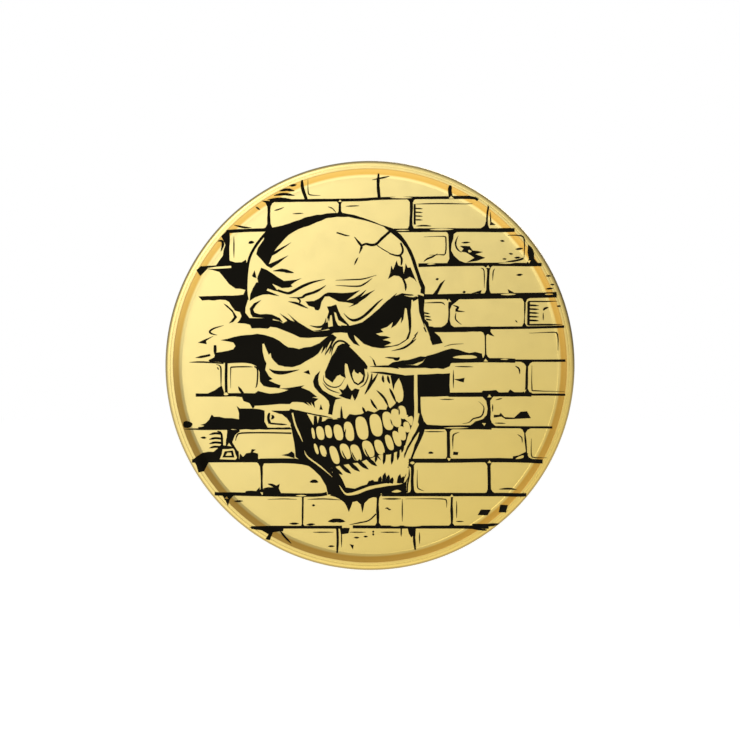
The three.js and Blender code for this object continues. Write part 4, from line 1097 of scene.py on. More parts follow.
def draw_brow(pen):
    """Wrinkles and the frown between the sockets."""
    pen.line(
        0.26, (-8.6, 7), (-7.7, 6.72), (-7.2, 6.85), (-6.3, 7.35), (-5.3, 7.75), (-4.2, 8), ends=(0.8, 0.1))
    pen.line(0.24, (-7.5, 6.32), (-6.4, 6.3), (-6, 6.55), (-5.2, 6.8), (-4.6, 7.1), (-4.1, 7.45))
    pen.line(0.16, (-6.75, 6.25), (-6.5, 6.05), (-6.55, 5.8), ends=(0.8, 0.8))
    pen.line(0.22, (-7.6, 5.95), (-6.9, 5.8), (-6.4, 5.6), (-5.75, 5.3))
    pen.fill(
        (-6, 5.95), (-5.2, 5.98), (-4.7, 6.25), (-4.2, 6.62), (-3.9, 6.78), (-2.5, 6.74), (-1.6, 6.8),
        (-0.95, 7.02), (-1.6, 6.5), (-2.2, 6.05), (-1.5, 6.25), (-0.3, 7.05), (-0.9, 6.35), (0.45, 7.05),
        (-0.4, 6.3), (-1.2, 5.7), (-2, 5.4), (-1.5, 5.75), (-2.2, 5.85), (-2.9, 5.95), (-3.4, 6.2),
        (-3.8, 6.42), (-4.2, 6.4), (-4.5, 5.9), (-4.65, 5.3), (-4.8, 5.1), (-5.1, 5.15), (-5.2, 5.4),
        (-5.7, 5.55))
    pen.line(0.12, (-3.2, 7.92), (-1.6, 7.98), (-0.6, 8.05), (0.6, 8.4))
    pen.line(0.15, (-3.2, 7.45), (-1.2, 7.36), (-0.5, 7.6), (0.2, 8.1))
    pen.line( 0.26, (-2.45, 4.85), (-1.95, 4.35), (-1.4, 4.2), (-0.7, 4.5), (0, 5.1), (0.8, 5.9), (1.2, 6.2))
    pen.line(0.1, (1.7, 6), (2.5, 6.7))
    pen.fill(
        (-4, 5.5), (-3.6, 5.48), (-3.15, 5.68), (-2.95, 5.1), (-2.7, 4.6), (-2.2, 4.05), (-1.9, 3.75),
        (-2, 3.3), (-2.1, 3.05), (-3.3, 3.05), (-3.6, 3.3), (-4.2, 3.5), (-4.05, 3.9), (-3.95, 4.5),
        (-3.85, 5))
    pen.bare((-3.68, 4.68), (-3.56, 4.68), (-3.48, 4.1), (-3.45, 3.65), (-3.97, 3.55), (-3.8, 4.1))
    pen.fill((-3.95, 2.9), (-3.45, 2.9), (-3.12, 2.62), (-3.35, 2.2), (-3.7, 2.2))
    pen.bare((-3.35, 4.95), (-3.2, 4.9), (-2.95, 4.2), (-2.12, 3.75), (-2.4, 3.6), (-3, 3.72), (-3.2, 4.2))
    pen.scratch(0.14, (-4.15, 3.6), (-3.9, 3.9), (-3.95, 4.4))


def draw_left_socket(pen):
    """The left eye socket with its lid and its shadow."""
    pen.fill(
        (-10.1, 6.08), (-10.8, 5.8), (-11.15, 5.3), (-11.1, 4.8), (-10.9, 4.5), (-9.8, 4.4), (-9.1, 4.35),
        (-8.5, 4.15), (-8.1, 3.98), (-8.4, 4.4), (-9.1, 4.75), (-10.2, 4.78), (-10.75, 4.9), (-10.85, 5.2),
        (-10.6, 5.6))
    pen.fill(
        (-11.2, 4.35), (-9.6, 4.35), (-8.4, 4.1), (-8.1, 3.95), (-7.7, 4.15), (-8.4, 4.85), (-7.4, 4.2),
        (-7, 4.05), (-7.7, 4.9), (-6.6, 4), (-5.8, 3.45), (-5.2, 3.2), (-4.5, 3.2), (-3.5, 3.4), (-3.3, 3.1),
        (-3.6, 2.9), (-3.4, 2.65), (-4, 2.7), (-4.9, 2.6), (-5.7, 2.58), (-6.5, 2.6), (-7.2, 2.9),
        (-8, 3.25), (-8.7, 3.5), (-9.3, 3.62), (-9.5, 3.45), (-11, 3.45))
    pen.fill(
        (-8.2, 2.05), (-7.6, 1.7), (-6.6, 1.55), (-5.5, 1.75), (-4.7, 2.1), (-4, 2.65), (-3.55, 2.75),
        (-3.3, 2.4), (-3.5, 1.9), (-3.9, 1.3), (-4.2, 0.9), (-4.05, 1.7), (-4.5, 1.1), (-4.35, 1.8),
        (-4.8, 1.1), (-5.2, 0.8), (-5.9, 0.4), (-6.5, 0.05), (-7.2, -0.15), (-8, -0.12), (-8.3, 0.2))
    pen.scratch(0.12, (-3.6, 2.3), (-3.8, 1.9), (-4.15, 1.2))
    pen.line(0.2, (-5.6, 3.72), (-5, 3.58), (-4.5, 3.62), (-4.2, 3.9), (-4.1, 4.4))
    pen.fill(
        (-5.4, 3.25), (-4.6, 3.2), (-3.9, 3.4), (-3.9, 4), (-4.05, 4), (-4.3, 3.65), (-4.5, 3.5),
        (-4.6, 3.35))
    pen.blob(
        (-9.4, -0.3), (-8.9, -0.45), (-8, -0.5), (-7.2, -0.45), (-6.55, -0.38), (-7.2, -0.62), (-8.1, -0.84),
        (-8.9, -0.75))
    pen.fill((-6.2, -0.62), (-5.7, -0.42), (-5.55, -0.85), (-5.8, -0.75))


def draw_right_socket(pen):
    """The right eye socket."""
    pen.fill(
        (-2.7, 3.72), (-1.9, 3.72), (-1.2, 3.85), (-0.7, 4.02), (-0.3, 4.3), (0.5, 5), (1.2, 5.65),
        (1.7, 6.1), (2.3, 6.45), (3, 6.72), (3.9, 6.6), (4.6, 6.3), (3.95, 5.9), (3.95, 3.6), (3.6, 2.5),
        (2.6, 1.85), (1.2, 1.6), (0.2, 1.7), (-0.6, 2), (-1.15, 2.5), (-1.5, 2.85), (-1.35, 2.4),
        (-0.95, 1.78), (-1.5, 2.05), (-1.95, 2.6), (-2.12, 3.1), (-2.6, 3.3))
    pen.bare(
        (0.55, 2.95), (1.25, 3.1), (1, 3.35), (1.6, 3.6), (2.1, 4.05), (1.95, 3.5), (2.4, 3.75), (2.9, 4.5),
        (2.85, 3.9), (3.1, 4.3), (3.25, 5.35), (3.42, 5.3), (3.55, 4.2), (3.62, 3.2), (3.35, 2.45), (2.7, 2),
        (2, 1.82), (1.3, 1.8), (2, 2.1), (1.7, 2.3), (1.15, 2.4), (1.9, 2.6), (1.5, 2.75), (0.9, 2.75))
    pen.bare(
        (3.85, 6.1), (3.98, 6.1), (4.15, 5.3), (4.3, 5.9), (4.45, 5.2), (4.7, 4.2), (5.1, 3.2), (5.6, 2.4),
        (5.75, 1.85), (5.6, 1.8), (5.1, 2.2), (4.5, 2.6), (4.1, 2.2), (3.6, 2), (3.75, 2.8), (3.85, 3.6),
        (3.8, 4.6))
    pen.fill(
        (4.45, 6.6), (4.5, 5.8), (4.58, 5), (4.8, 4.3), (5.05, 3.7), (5.4, 2.9), (5.8, 1.9), (6, 1.95),
        (6.8, 2.1), (6.5, 2.7), (5.9, 3.2), (5.9, 3.6), (5.5, 3.65), (5.4, 4), (5.1, 4.3), (5.02, 5.2),
        (5.1, 6.4))
    pen.scratch(0.12, (5.05, 3.9), (5.3, 3.2), (5.6, 2.5))
    pen.scratch(0.16, (3.2, 6.5), (4, 6.42), (4.45, 6.7), (4.75, 7.2))
    for x, z in ((4.3, 3), (4.15, 2.7), (3.9, 2.35)):
        pen.line(0.12, (x + 0.15, z + 0.15), (x, z - 0.1), (x - 0.2, z - 0.25))


def draw_nose(pen):
    """The nose hole and the folds beside it."""
    pen.fill(
        (-2.6, 2), (-2.25, 2.05), (-1.95, 1.8), (-1.4, 1.25), (-0.9, 0.7), (-0.5, 0.3), (-0.22, -0.1),
        (-0.28, -0.35), (-0.5, -0.3), (-0.42, -0.9), (-0.6, -1.5), (-1.1, -1.85), (-1.5, -1.65),
        (-1.75, -1.15), (-1.92, -0.6), (-2.1, 0.1), (-2.27, 0.2), (-2.35, 0), (-2.35, -0.7), (-2.25, -1.2),
        (-2.75, -0.95), (-3, -0.95), (-3.3, -1.3), (-3.5, -1.6), (-3.8, -1.4), (-4.15, -1.1), (-4.2, -0.6),
        (-4, -0.2), (-3.85, 0.2), (-3.6, 0.8), (-3.3, 1.2), (-3, 1.8))
    pen.line(
        0.18, (-3.6, 0.9), (-3.5, 1.5), (-3.3, 2), (-2.9, 2.28), (-2.4, 2.2), (-1.9, 1.8), ends=(0.1, 1))
    pen.bare(
        (-3.4, -1.5), (-3.1, -1), (-2.7, -0.85), (-2.75, -1.1), (-2.5, -1.1), (-2.7, -1.6), (-3.2, -1.75))
    pen.bare(
        (-1.68, -0.75), (-1.5, -0.35), (-1.4, -0.6), (-1.1, -0.8), (-0.95, -0.6), (-0.62, -0.95),
        (-0.75, -1.35), (-1.1, -1.7), (-1.45, -1.5), (-1.6, -1.15))
    pen.line(0.11, (-4.3, -0.9), (-4.3, -1.4), (-3.9, -1.85), (-3.3, -2.03), (-2.75, -1.85), (-2.35, -1.2))
    pen.line(0.11, (-4.4, -1.6), (-3.95, -2.12), (-3.4, -2.4), (-2.8, -2.58))
    pen.line(0.12, (-3.78, 1.1), (-3.62, 1.6), (-3.55, 2.1))
    pen.line(0.12, (-0.22, -0.6), (-0.2, -1.1), (-0.5, -1.75), (-0.95, -2.05))
    pen.line(0.2, (0.18, -0.75), (0.12, -1.3), (-0.1, -1.9), (-0.4, -2.5), ends=(0.4, 0.2))
    pen.fill(
        (-2.9, -2.15), (-2.5, -2.3), (-2.3, -2.1), (-2.1, -1.7), (-1.9, -2.1), (-1.7, -2.35), (-1.4, -2.15),
        (-0.95, -2.25), (-1.2, -2.9), (-1.45, -3.3), (-1.65, -2.7), (-1.8, -3.15), (-2.3, -3.05),
        (-2.9, -2.8), (-2.6, -2.6))
    pen.fill(
        (-4.65, -0.5), (-5.1, -0.95), (-5.3, -1.5), (-5.2, -2), (-4.8, -2.5), (-4.2, -2.95), (-3.85, -3.3),
        (-3.75, -3.7), (-3.9, -4.5), (-3.5, -4.6), (-3.4, -3.8), (-3.2, -3.2), (-2.6, -3.05), (-3.1, -2.95),
        (-3.8, -2.65), (-4.4, -2.3), (-4.75, -1.8), (-4.85, -1.3), (-4.75, -0.9))


def draw_cheekbone(pen):
    """The right cheek's lines and the bar of the cheekbone."""
    pen.line(0.18, (2, 1.36), (3.1, 1.62), (3.9, 2.15), (4.3, 2.5))
    pen.line(0.07, (8.7, 2.02), (7.6, 1.95), (6.9, 1.75))
    pen.fill(
        (5.3, 0.9), (6.4, 1.2), (7.6, 1.6), (9.5, 1.1), (9.4, 0.6), (7.6, 0.4), (7.4, -0.1), (6.8, -0.3),
        (4, -0.2), (2.7, -0.2), (4.2, 0.3))
    pen.fill((9.2, 1.15), (9.8, 1.25), (10.4, 1.1), (10.5, 0.55), (9.2, 0.5))
    pen.lens((7.7, 0.72), (8.3, 0.92), (9.5, 0.95), (9.95, 0.72), (9, 0.62))
    pen.line(0.3, (2.1, 0.7), (2.5, 0.58), (2.75, 0.75), ends=(0.2, 0.3))
    pen.line(0.16, (1.4, 0.75), (2.7, 0.65))
    pen.fill((-0.1, 0.95), (0.2, 0.6), (0.4, 0), (0.62, -0.02), (0.4, 0.5))
    pen.fill(
        (1.6, -0.05), (2.1, 0.28), (3, 0.45), (4, 0.62), (4.7, 0.85), (5.3, 0.8), (5.6, 0.3), (6, -0.2),
        (3, -0.25))
    pen.bare((3.2, 0.02), (4, 0.1), (4.9, 0.42), (5.2, 0.75), (4.9, 0.28), (4.4, 0.02))
    pen.line(0.2, (0, -0.1), (2, -0.1), (2.7, -0.3))
    pen.line(0.22, (0.05, -0.62), (1.2, -0.7), (2.5, -0.9), (3.2, -0.92))


def draw_upper_teeth(pen):
    """The left cheek, the muzzle and the upper teeth."""
    pen.fill(
        (-8.4, -2.15), (-7.3, -2.05), (-6.1, -1.85), (-6.4, -2.05), (-5.6, -2.35), (-5.3, -2.6),
        (-4.9, -2.95), (-5.4, -2.95), (-4.8, -3.1), (-5.2, -3.4), (-5.1, -3.95), (-5.5, -3.4), (-5.4, -3.75),
        (-5.9, -3.35), (-5.6, -3.75), (-6.2, -3.45), (-6.8, -3.38), (-7.2, -3.42), (-7.45, -3.6),
        (-8.2, -3.58), (-8.4, -2.6), (-7.6, -2.28))
    pen.fill((-4.7, -4.1), (-4.55, -3.6), (-4.4, -4.15))
    pen.line(0.12, (-6.8, -4.15), (-5.9, -4.4), (-5, -4.6), (-4.1, -4.75), (-3.5, -4.9))
    pen.fill(
        (-5.9, -4.45), (-5.75, -5), (-5.45, -5.5), (-5.25, -5.5), (-5.2, -4.65), (-4.95, -4.7), (-4.9, -5.4),
        (-4.7, -4.75), (-4.45, -4.8), (-4.5, -5.4), (-4.3, -5.45), (-4.1, -5.05), (-3.9, -4.9),
        (-3.5, -4.95), (-3.2, -5.3), (-3, -5), (-2.7, -5.3), (-3.1, -4.9), (-2.8, -4.85), (-2.68, -3.75),
        (-2.5, -4.85), (-2.2, -5.05), (-1.9, -4.7), (-1.9, -5.2), (-5.7, -5.8), (-6.2, -5.4))
    pen.bare(
        (-9.8, -4.35), (-8.9, -4.38), (-8.2, -4.55), (-7.7, -4.95), (-7.35, -5.45), (-7.6, -5.72),
        (-9.4, -5.78), (-9.65, -5.2))
    pen.line(0.26, (-9.35, -4.4), (-9.45, -4.9), (-9.3, -5.4), ends=(0.6, 1))
    pen.line(0.16, (-9.3, -5.38), (-8.5, -5.45), (-7.7, -5.5), ends=(1, 0.2))
    pen.line(0.24, (-9.2, -5), (-9, -4.8), (-9.15, -4.6))
    for line in (((0.75, -0.7), (0.4, -1.3), (-0.2, -2.2), (-0.5, -2.7)), ((1.2, -0.9), (1.2, -1.3), (1.3, -1.6)),
                 ((1.65, -0.9), (1.7, -1.3), (1.85, -1.7)), ((0.6, -2.3), (1.3, -3), (1.75, -3.9)),
                 ((1.8, -2.1), (2.1, -2.7), (2.45, -3.5)), ((0.05, -3.1), (0.3, -3.6), (0.7, -4.1)),
                 ((-0.7, -3.85), (-0.55, -4.2), (-0.35, -4.6))):
        pen.line(0.22, *line)
    pen.fill((1.9, -0.95), (2, -1.6), (2.2, -2.3), (2.3, -1.7), (2.6, -1.3), (2.9, -0.95))
    # The dark behind the teeth, then the teeth
    pen.fill(
        (-5.9, -5.75), (-5, -5.4), (-4, -5.1), (-3.2, -5), (-2.2, -4.95), (-1.9, -4.5), (-1.4, -4.6),
        (-0.8, -4.5), (-0.2, -4.2), (0.4, -4.35), (0.9, -4.1), (1.5, -4.1), (1.65, -3.7), (1.9, -4),
        (2.3, -3.6), (2.5, -3.3), (2.7, -3.5), (3, -3.3), (3.3, -3.9), (3.9, -4.5), (3.9, -5.5), (3.6, -6.2),
        (3.3, -7.4), (2.8, -7.9), (1.8, -8.3), (0.9, -8.3), (0.2, -8.6), (-1, -9), (-2.2, -9.2),
        (-3.8, -9.5), (-5.2, -8.8), (-5.9, -7.4))
    for x, z, half_width, half_height in UPPER_TEETH:
        draw_tooth(pen, x, z, half_width, half_height, UPPER_LEAN)
    pen.lens(
        (3.2, -4.9), (3.4, -4.6), (3.55, -4.65), (3.5, -4.8), (3.9, -4.7), (4, -5.1), (3.85, -5.6),
        (3.6, -5.3))
    pen.line(0.14, (-2.25, -5.9), (-2.35, -6.5), (-2.2, -7))
    pen.line(0.1, (1.9, -5), (2.1, -5.6))
    pen.line(0.12, (2.65, -3.9), (2.72, -4.3), (2.7, -4.6))


def draw_lower_teeth(pen):
    """The lower teeth and the jaw's spikes."""
    for x, z, half_width, half_height in LOWER_TEETH:
        draw_tooth(pen, x, z, half_width, half_height, LOWER_LEAN)
    for x, z in ((-4.1, -8.2), (-2.6, -7.9), (-1.7, -8), (0.5, -7.9), (-0.5, -7.7)):
        pen.line(0.12, (x, z), (x + 0.2, z - 0.5), (x + 0.5, z - 0.9))
    for x, z, drop in ((0.6, -8.1, 0.9), (1.35, -8.1, 1.1), (2.1, -7.9, 1.3), (2.65, -7.7, 1.1), (3.05, -7.2, 0.9)):
        pen.line(0.26, (x, z), (x - 0.02, z - drop * 0.5), (x - 0.1, z - drop), ends=(1.8, 0.1))
    for x, z in ((-4.2, -9.1), (-3.5, -9.3), (-2.7, -9.2), (-1.9, -9), (-1.1, -8.8), (-0.3, -8.5)):
        pen.line(0.34, (x, z), (x + 0.35, z - 0.4), (x + 0.95, z - 0.85), ends=(1.8, 0.1))


UPPER_LEAN = -0.16
LOWER_LEAN = -0.28
UPPER_TEETH = (
    (-5.28, -6.3, 0.14, 0.52), (-4.62, -6.28, 0.36, 0.64), (-3.85, -6.15, 0.31, 0.6), (-2.94, -6.22, 0.42, 0.74),
    (-1.95, -6.12, 0.44, 0.9), (-0.75, -5.82, 0.56, 1.08), (0.56, -5.55, 0.56, 1.05), (1.66, -5.15, 0.48, 0.86),
    (2.42, -4.88, 0.44, 0.85), (3, -4.35, 0.38, 0.62), (3.42, -5.72, 0.3, 0.5), (2.98, -6.3, 0.34, 0.66),
)
LOWER_TEETH = (
    (-5, -7.75, 0.16, 0.5), (-4.35, -7.95, 0.28, 0.52), (-3.3, -8.32, 0.38, 0.84), (-2.3, -7.98, 0.44, 0.72),
    (-1.3, -8.12, 0.45, 0.78), (-0.16, -7.76, 0.5, 0.78), (0.88, -7.6, 0.42, 0.7), (1.8, -7.16, 0.34, 0.72),
    (2.5, -6.8, 0.34, 0.72),
)


def draw_tooth(pen, x, z, half_width, half_height, lean):
    """One bare tooth: an oval with squared shoulders, leaning a little."""
    points = []
    for k in range(12):
        turn = math.tau * k / 12
        across = math.copysign(abs(math.cos(turn)) ** 0.8, math.cos(turn))
        up = math.copysign(abs(math.sin(turn)) ** 0.8, math.sin(turn))
        points.append((x + half_width * across + lean * half_height * up, z + half_height * up))
    pen.lens(*points)


def draw_chin(pen):
    """The chin's edge, its stubble and the drips below it."""
    pen.fill(
        (-3.5, -9.3), (-3, -9.9), (-2.6, -10.6), (-2.25, -11.35), (-1.75, -11.4), (-1.4, -11.45),
        (-0.3, -11.05), (-0.1, -10.75), (1.5, -10.78), (2.6, -10.85), (3.1, -10.5), (3.4, -10), (3.5, -9.5),
        (3.55, -10.5), (3.3, -11.1), (3, -11.95), (1, -11.9), (0.8, -12.3), (0.3, -12.25), (-0.1, -12.35),
        (-0.5, -12.8), (-0.7, -13.7), (-0.85, -12.9), (-1.2, -12.6), (-1.6, -12.7), (-1.95, -13.6),
        (-2.2, -13), (-2.4, -12.7), (-2.8, -12.4), (-3.7, -12.1), (-3.2, -11.6), (-3.5, -10.6))
    pen.scratch(
        0.3, (-2.85, -11.15), (-2.4, -11.82), (-2, -11.98), (-1.2, -11.82), (0, -11.37), (1.6, -11.07),
        (2.7, -10.93), (3.2, -10.7), (3.45, -10.2), (3.55, -9.5), ends=(0.2, 0.5))
    pen.lens((2, -11.75), (2.5, -11.55), (2.9, -11.7), (2.5, -11.82))
    for x, z in ((0.3, -10.65), (1, -10.3), (1.4, -9.95), (1.75, -10.15), (2.1, -10.4), (2.8, -10.1), (3.1, -10.3)):
        pen.line(0.34, (x - 0.15, -10.95), (x, z), ends=(1.4, 0.1))


DRAWINGS = (
    ("mortar_top", draw_mortar_top),
    ("mortar_right", draw_mortar_right),
    ("mortar_bottom", draw_mortar_bottom),
    ("breach_upper_left", draw_breach_upper_left),
    ("breach_left", draw_breach_left),
    ("breach_lower_left", draw_breach_lower_left),
    ("breach_right", draw_breach_right),
    ("cranium", draw_cranium),
    ("forehead_crack", draw_forehead_crack),
    ("brow", draw_brow),
    ("left_socket", draw_left_socket),
    ("right_socket", draw_right_socket),
    ("nose", draw_nose),
    ("cheekbone", draw_cheekbone),
    ("upper_teeth", draw_upper_teeth),
    ("lower_teeth", draw_lower_teeth),
    ("chin", draw_chin),
)


def front_y(radius, sizes):
    """Height of the disc's face at a radius, in millimetres."""
    foot = DISC_RADIUS - sizes.rim_width
    top = DISC_RADIUS - sizes.crest_width
    corner = DISC_RADIUS - sizes.crest_round
    if radius <= foot:
        return FIELD_Y
    if radius < top:
        return FIELD_Y + (CREST_Y - FIELD_Y) * (radius - foot) / (top - foot)
    if radius <= corner:
        return CREST_Y
    return CREST_Y + sizes.crest_round - math.sqrt(max(0.0, sizes.crest_round ** 2 - (radius - corner) ** 2))


RIM_STEPS = (0.0, 0.25, 0.5, 0.75, 0.95, 1.1)
RING_SEGMENTS = 240


def top_marks(marks, sizes):
    """Cuts all the marks against each other. Returns points, triangles, and each triangle's piece."""
    points = []
    edges = []
    faces = []
    for _, outline in marks:
        start = len(points)
        points += [Vector(p) for p in outline]
        faces.append(list(range(start, start + len(outline))))
    for step in RIM_STEPS:
        radius = DISC_RADIUS - sizes.rim_width + step
        start = len(points)
        for k in range(RING_SEGMENTS):
            turn = math.tau * k / RING_SEGMENTS
            points.append(Vector((radius * math.cos(turn), radius * math.sin(turn))))
        edges += [(start + k, start + (k + 1) % RING_SEGMENTS) for k in range(RING_SEGMENTS)]
    verts, _, triangles, _, _, origins = delaunay_2d_cdt(points, edges, faces, 0, 1e-4, True)
    kept = []
    for triangle, origin in zip(triangles, origins):
        piece = marks[max(origin)][0] if origin else None
        if piece:
            kept.append((piece, triangle))
    return verts, kept


def film(verts, triangles, ink, disc):
    """A closed film of enamel over some triangles, following the disc's face."""
    parent = {}

    def root(corner):
        while parent.setdefault(corner, corner) != corner:
            corner = parent[corner]
        return corner

    shared = {}
    for t, triangle in enumerate(triangles):
        for a, b in zip(triangle, triangle[1:] + triangle[:1]):
            shared.setdefault((min(a, b), max(a, b)), []).append(t)
    for (a, b), owners in shared.items():
        if len(owners) == 2:
            for v in (a, b):
                parent[root((owners[0], v))] = root((owners[1], v))
    numbers = {}
    points = []
    for t, triangle in enumerate(triangles):
        for v in triangle:
            key = root((t, v))
            if key not in numbers:
                numbers[key] = len(points) // 2
                x, z = verts[v]
                face = front_y(math.hypot(x, z), disc)
                points += [(x, face - ink.height, z), (x, face + ink.sink, z)]
    faces = []
    for t, triangle in enumerate(triangles):
        corners = [numbers[root((t, v))] for v in triangle]
        faces.append(tuple(2 * c for c in corners))
        faces.append(tuple(2 * c + 1 for c in reversed(corners)))
        for a, b in zip(triangle, triangle[1:] + triangle[:1]):
            if len(shared[(min(a, b), max(a, b))]) == 1:
                p = numbers[root((t, a))]
                q = numbers[root((t, b))]
                faces.append((2 * p, 2 * p + 1, 2 * q + 1, 2 * q))
    return points, faces


class PIN_OT_print_enamel(bpy.types.Operator):
    """Draw the black enamel and lay it on the disc, a piece for each fill"""

    bl_idname = "pin.print_enamel"
    bl_label = "Print enamel"

    def execute(self, context):
        ink = context.scene.pin_ink
        disc = context.scene.pin_disc
        pen = Pen(ink.unevenness)
        for piece, draw in DRAWINGS:
            pen.piece = piece
            draw(pen)
        verts, kept = top_marks(pen.marks, disc)
        for piece in dict.fromkeys(name for name, _ in DRAWINGS):
            triangles = [list(triangle) for name, triangle in kept if name == piece]
            if not triangles:
                raise RuntimeError(f"nothing of {piece} shows")
            points, faces = film(verts, triangles, ink, disc)
            mesh = bpy.data.meshes.new(piece)
            mesh.from_pydata([tuple(c * MM for c in p) for p in points], [], faces)
            bm = bmesh.new()
            bm.from_mesh(mesh)
            bmesh.ops.recalc_face_normals(bm, faces=bm.faces)
            bm.to_mesh(mesh)
            bm.free()
            mesh.shade_smooth()
            mesh.set_sharp_from_angle(angle=math.radians(40))
            make_piece(f"{piece}_fill", mesh, BADGE, "black_enamel", f"enamel_{piece}")
        return {"FINISHED"}


# ---- Posts and solder ---------------------------------------------------------------------------------------

POST_RADIUS = 1.15 / 2
PAD_THICKNESS = 0.4
POINT_LENGTH = 1.3
BARBS = 2
BARB_PITCH = 0.75
BARB_DEPTH = 0.12


def post_profile():
    """Half outline of a post: a round pad, a plain shank, grip rings behind the point and a blunt tip."""
    base = POST_LOW.y
    tip = POST_HIGH.y
    shoulder = tip - POINT_LENGTH
    pad_top = base + PAD_THICKNESS
    profile = [(0, base), (POST_PAD_RADIUS - 0.08, base), (POST_PAD_RADIUS, base + 0.08)]
    profile += arc((POST_PAD_RADIUS - 0.12, pad_top - 0.12), 0.12, 0, 90, 4)
    profile += [(POST_RADIUS + 0.5, pad_top)]
    profile += arc((POST_RADIUS + 0.2, pad_top + 0.2), 0.2, 270, 180, 5)
    for k in range(BARBS, 0, -1):
        ring = shoulder - k * BARB_PITCH
        neck = POST_RADIUS - BARB_DEPTH
        profile += [(POST_RADIUS, ring - 0.02), (POST_RADIUS - 0.02, ring + 0.02)]
        profile += [(neck, ring + BARB_DEPTH), (neck, ring + BARB_PITCH * 0.6)]
        profile += [(POST_RADIUS - 0.02, ring + BARB_PITCH * 0.6 + BARB_DEPTH)]
    profile += [(POST_RADIUS, shoulder), (POST_RADIUS * 0.97, shoulder + 0.15)]
    profile += [(POST_RADIUS * 0.72, shoulder + POINT_LENGTH * 0.5), (0.2, tip - 0.15)]
    profile += arc((0, tip - 0.12), 0.12, 30, 90, 3)
    return profile


class PIN_OT_set_posts(bpy.types.Operator):
    """Set the two nail posts"""

    bl_idname = "pin.set_posts"
    bl_label = "Set posts"

    def execute(self, context):
        for side in SIDES:
            points, faces = turned(post_profile(), POST_CENTRES[side], 64)
            mesh = to_mesh(f"{side} post", points, faces)
            make_piece(f"{side}_nail", mesh, BADGE, "post_nickel", f"{side}_post")
        return {"FINISHED"}


class PIN_OT_solder_posts(bpy.types.Operator):
    """Solder each post's pad to the back, with an uneven fillet round it"""

    bl_idname = "pin.solder_posts"
    bl_label = "Solder posts"

    def execute(self, context):
        base = SOLDER_LOW.y
        lip = SOLDER_HIGH.y
        outer = (SOLDER_HIGH.x - SOLDER_LOW.x) / 2
        bed = base + 0.06
        inner = POST_PAD_RADIUS + 0.02
        profile = [(0, base), (outer - 0.03, base), (outer, base + 0.02), (outer - 0.06, base + 0.07)]
        profile += [(inner + 0.2, base + (lip - base) * 0.36), (inner + 0.1, base + (lip - base) * 0.62)]
        profile += [(inner + 0.05, lip - 0.02), (inner, lip), (inner, bed), (0, bed)]
        for number, side in enumerate(SIDES):
            centre = POST_CENTRES[side]
            points, faces = turned(profile, centre, 96)
            points = [puddled(p, centre, number, inner, outer) for p in points]
            mesh = to_mesh(f"{side} solder", points, faces, 50)
            make_piece(f"{side}_solder_fillet", mesh, BADGE, "solder", f"{side}_solder")
        return {"FINISHED"}


def puddled(point, centre, number, inner, outer):
    """Draws a point of the fillet in a little, by an amount that wanders round the pad."""
    x, y, z = point
    reach = math.hypot(x - centre.x, z - centre.z)
    if reach < inner + 0.01:
        return point
    turn = math.atan2(z - centre.z, x - centre.x)
    wander = 0.5 + 0.25 * math.sin(3 * turn + number) + 0.25 * math.sin(5 * turn + 2 + 3 * number)
    drawn = reach - wander * 0.2 * (reach - inner) / (outer - inner)
    return centre.x + (x - centre.x) * drawn / reach, y, centre.z + (z - centre.z) * drawn / reach


# ---- Butterfly clutches -------------------------------------------------------------------------------------

CHEEK_HEIGHT = BRIDGE_HIGH.y - BRIDGE_LOW.y
CHEEK_LENGTH = 3.2
WINDOW_HEIGHT = 4.2
WING_WIDTH = WING_HIGH.x - WING_LOW.x
CHEEK_GAP = 0.12


def cup_profile(sizes):
    """Outline of the dished front plate, from its funnel out to its rolled edge and back inside."""
    front = CUP_LOW.y
    gauge = sizes.gauge
    hole = sizes.hole
    bead_y = CUP_HIGH.y - sizes.bead
    wall = CUP_RADIUS - gauge
    funnel = hole + 0.65
    outline = [(hole, front + 0.36), (hole + 0.08, front + 0.24), (hole + 0.3, front + 0.07), (funnel, front)]
    outline += [(2.6, front), (2.75, front + 0.06), (3.2, front + 0.06), (3.35, front)]
    outline += arc((CUP_RADIUS - 0.45, front + 0.45), 0.45, 270, 360, 8)
    outline += arc((CUP_RADIUS - sizes.bead, bead_y), sizes.bead, 0, 200, 12)
    outline += [(wall - 0.02, bead_y - 0.2), (wall, front + gauge + 0.3)]
    outline += arc((wall - 0.25, front + gauge + 0.25), 0.25, 0, -90, 5)
    outline += [(3.35, front + gauge), (3.2, front + gauge + 0.06), (2.75, front + gauge + 0.06)]
    outline += [(2.6, front + gauge), (funnel, front + gauge), (hole + 0.35, front + gauge + 0.08)]
    outline += [(hole + 0.18, front + gauge + 0.22), (hole + 0.14, front + gauge + 0.34)]
    outline += [(hole, front + gauge + 0.36)]
    return outline


class PIN_OT_press_cups(bpy.types.Operator):
    """Press the clutches' front plates with their rolled edges"""

    bl_idname = "pin.press_cups"
    bl_label = "Press cups"

    def execute(self, context):
        for side in SIDES:
            outline = cup_profile(context.scene.pin_clutch)
            points, faces = turned(outline, POST_CENTRES[side], 128, closed=True)
            mesh = to_mesh(f"{side} cup", points, faces)
            make_piece(f"{side}_cup", mesh, f"{side}_clutch", "clutch_brass", f"{side}_clutch_cup")
        return {"FINISHED"}


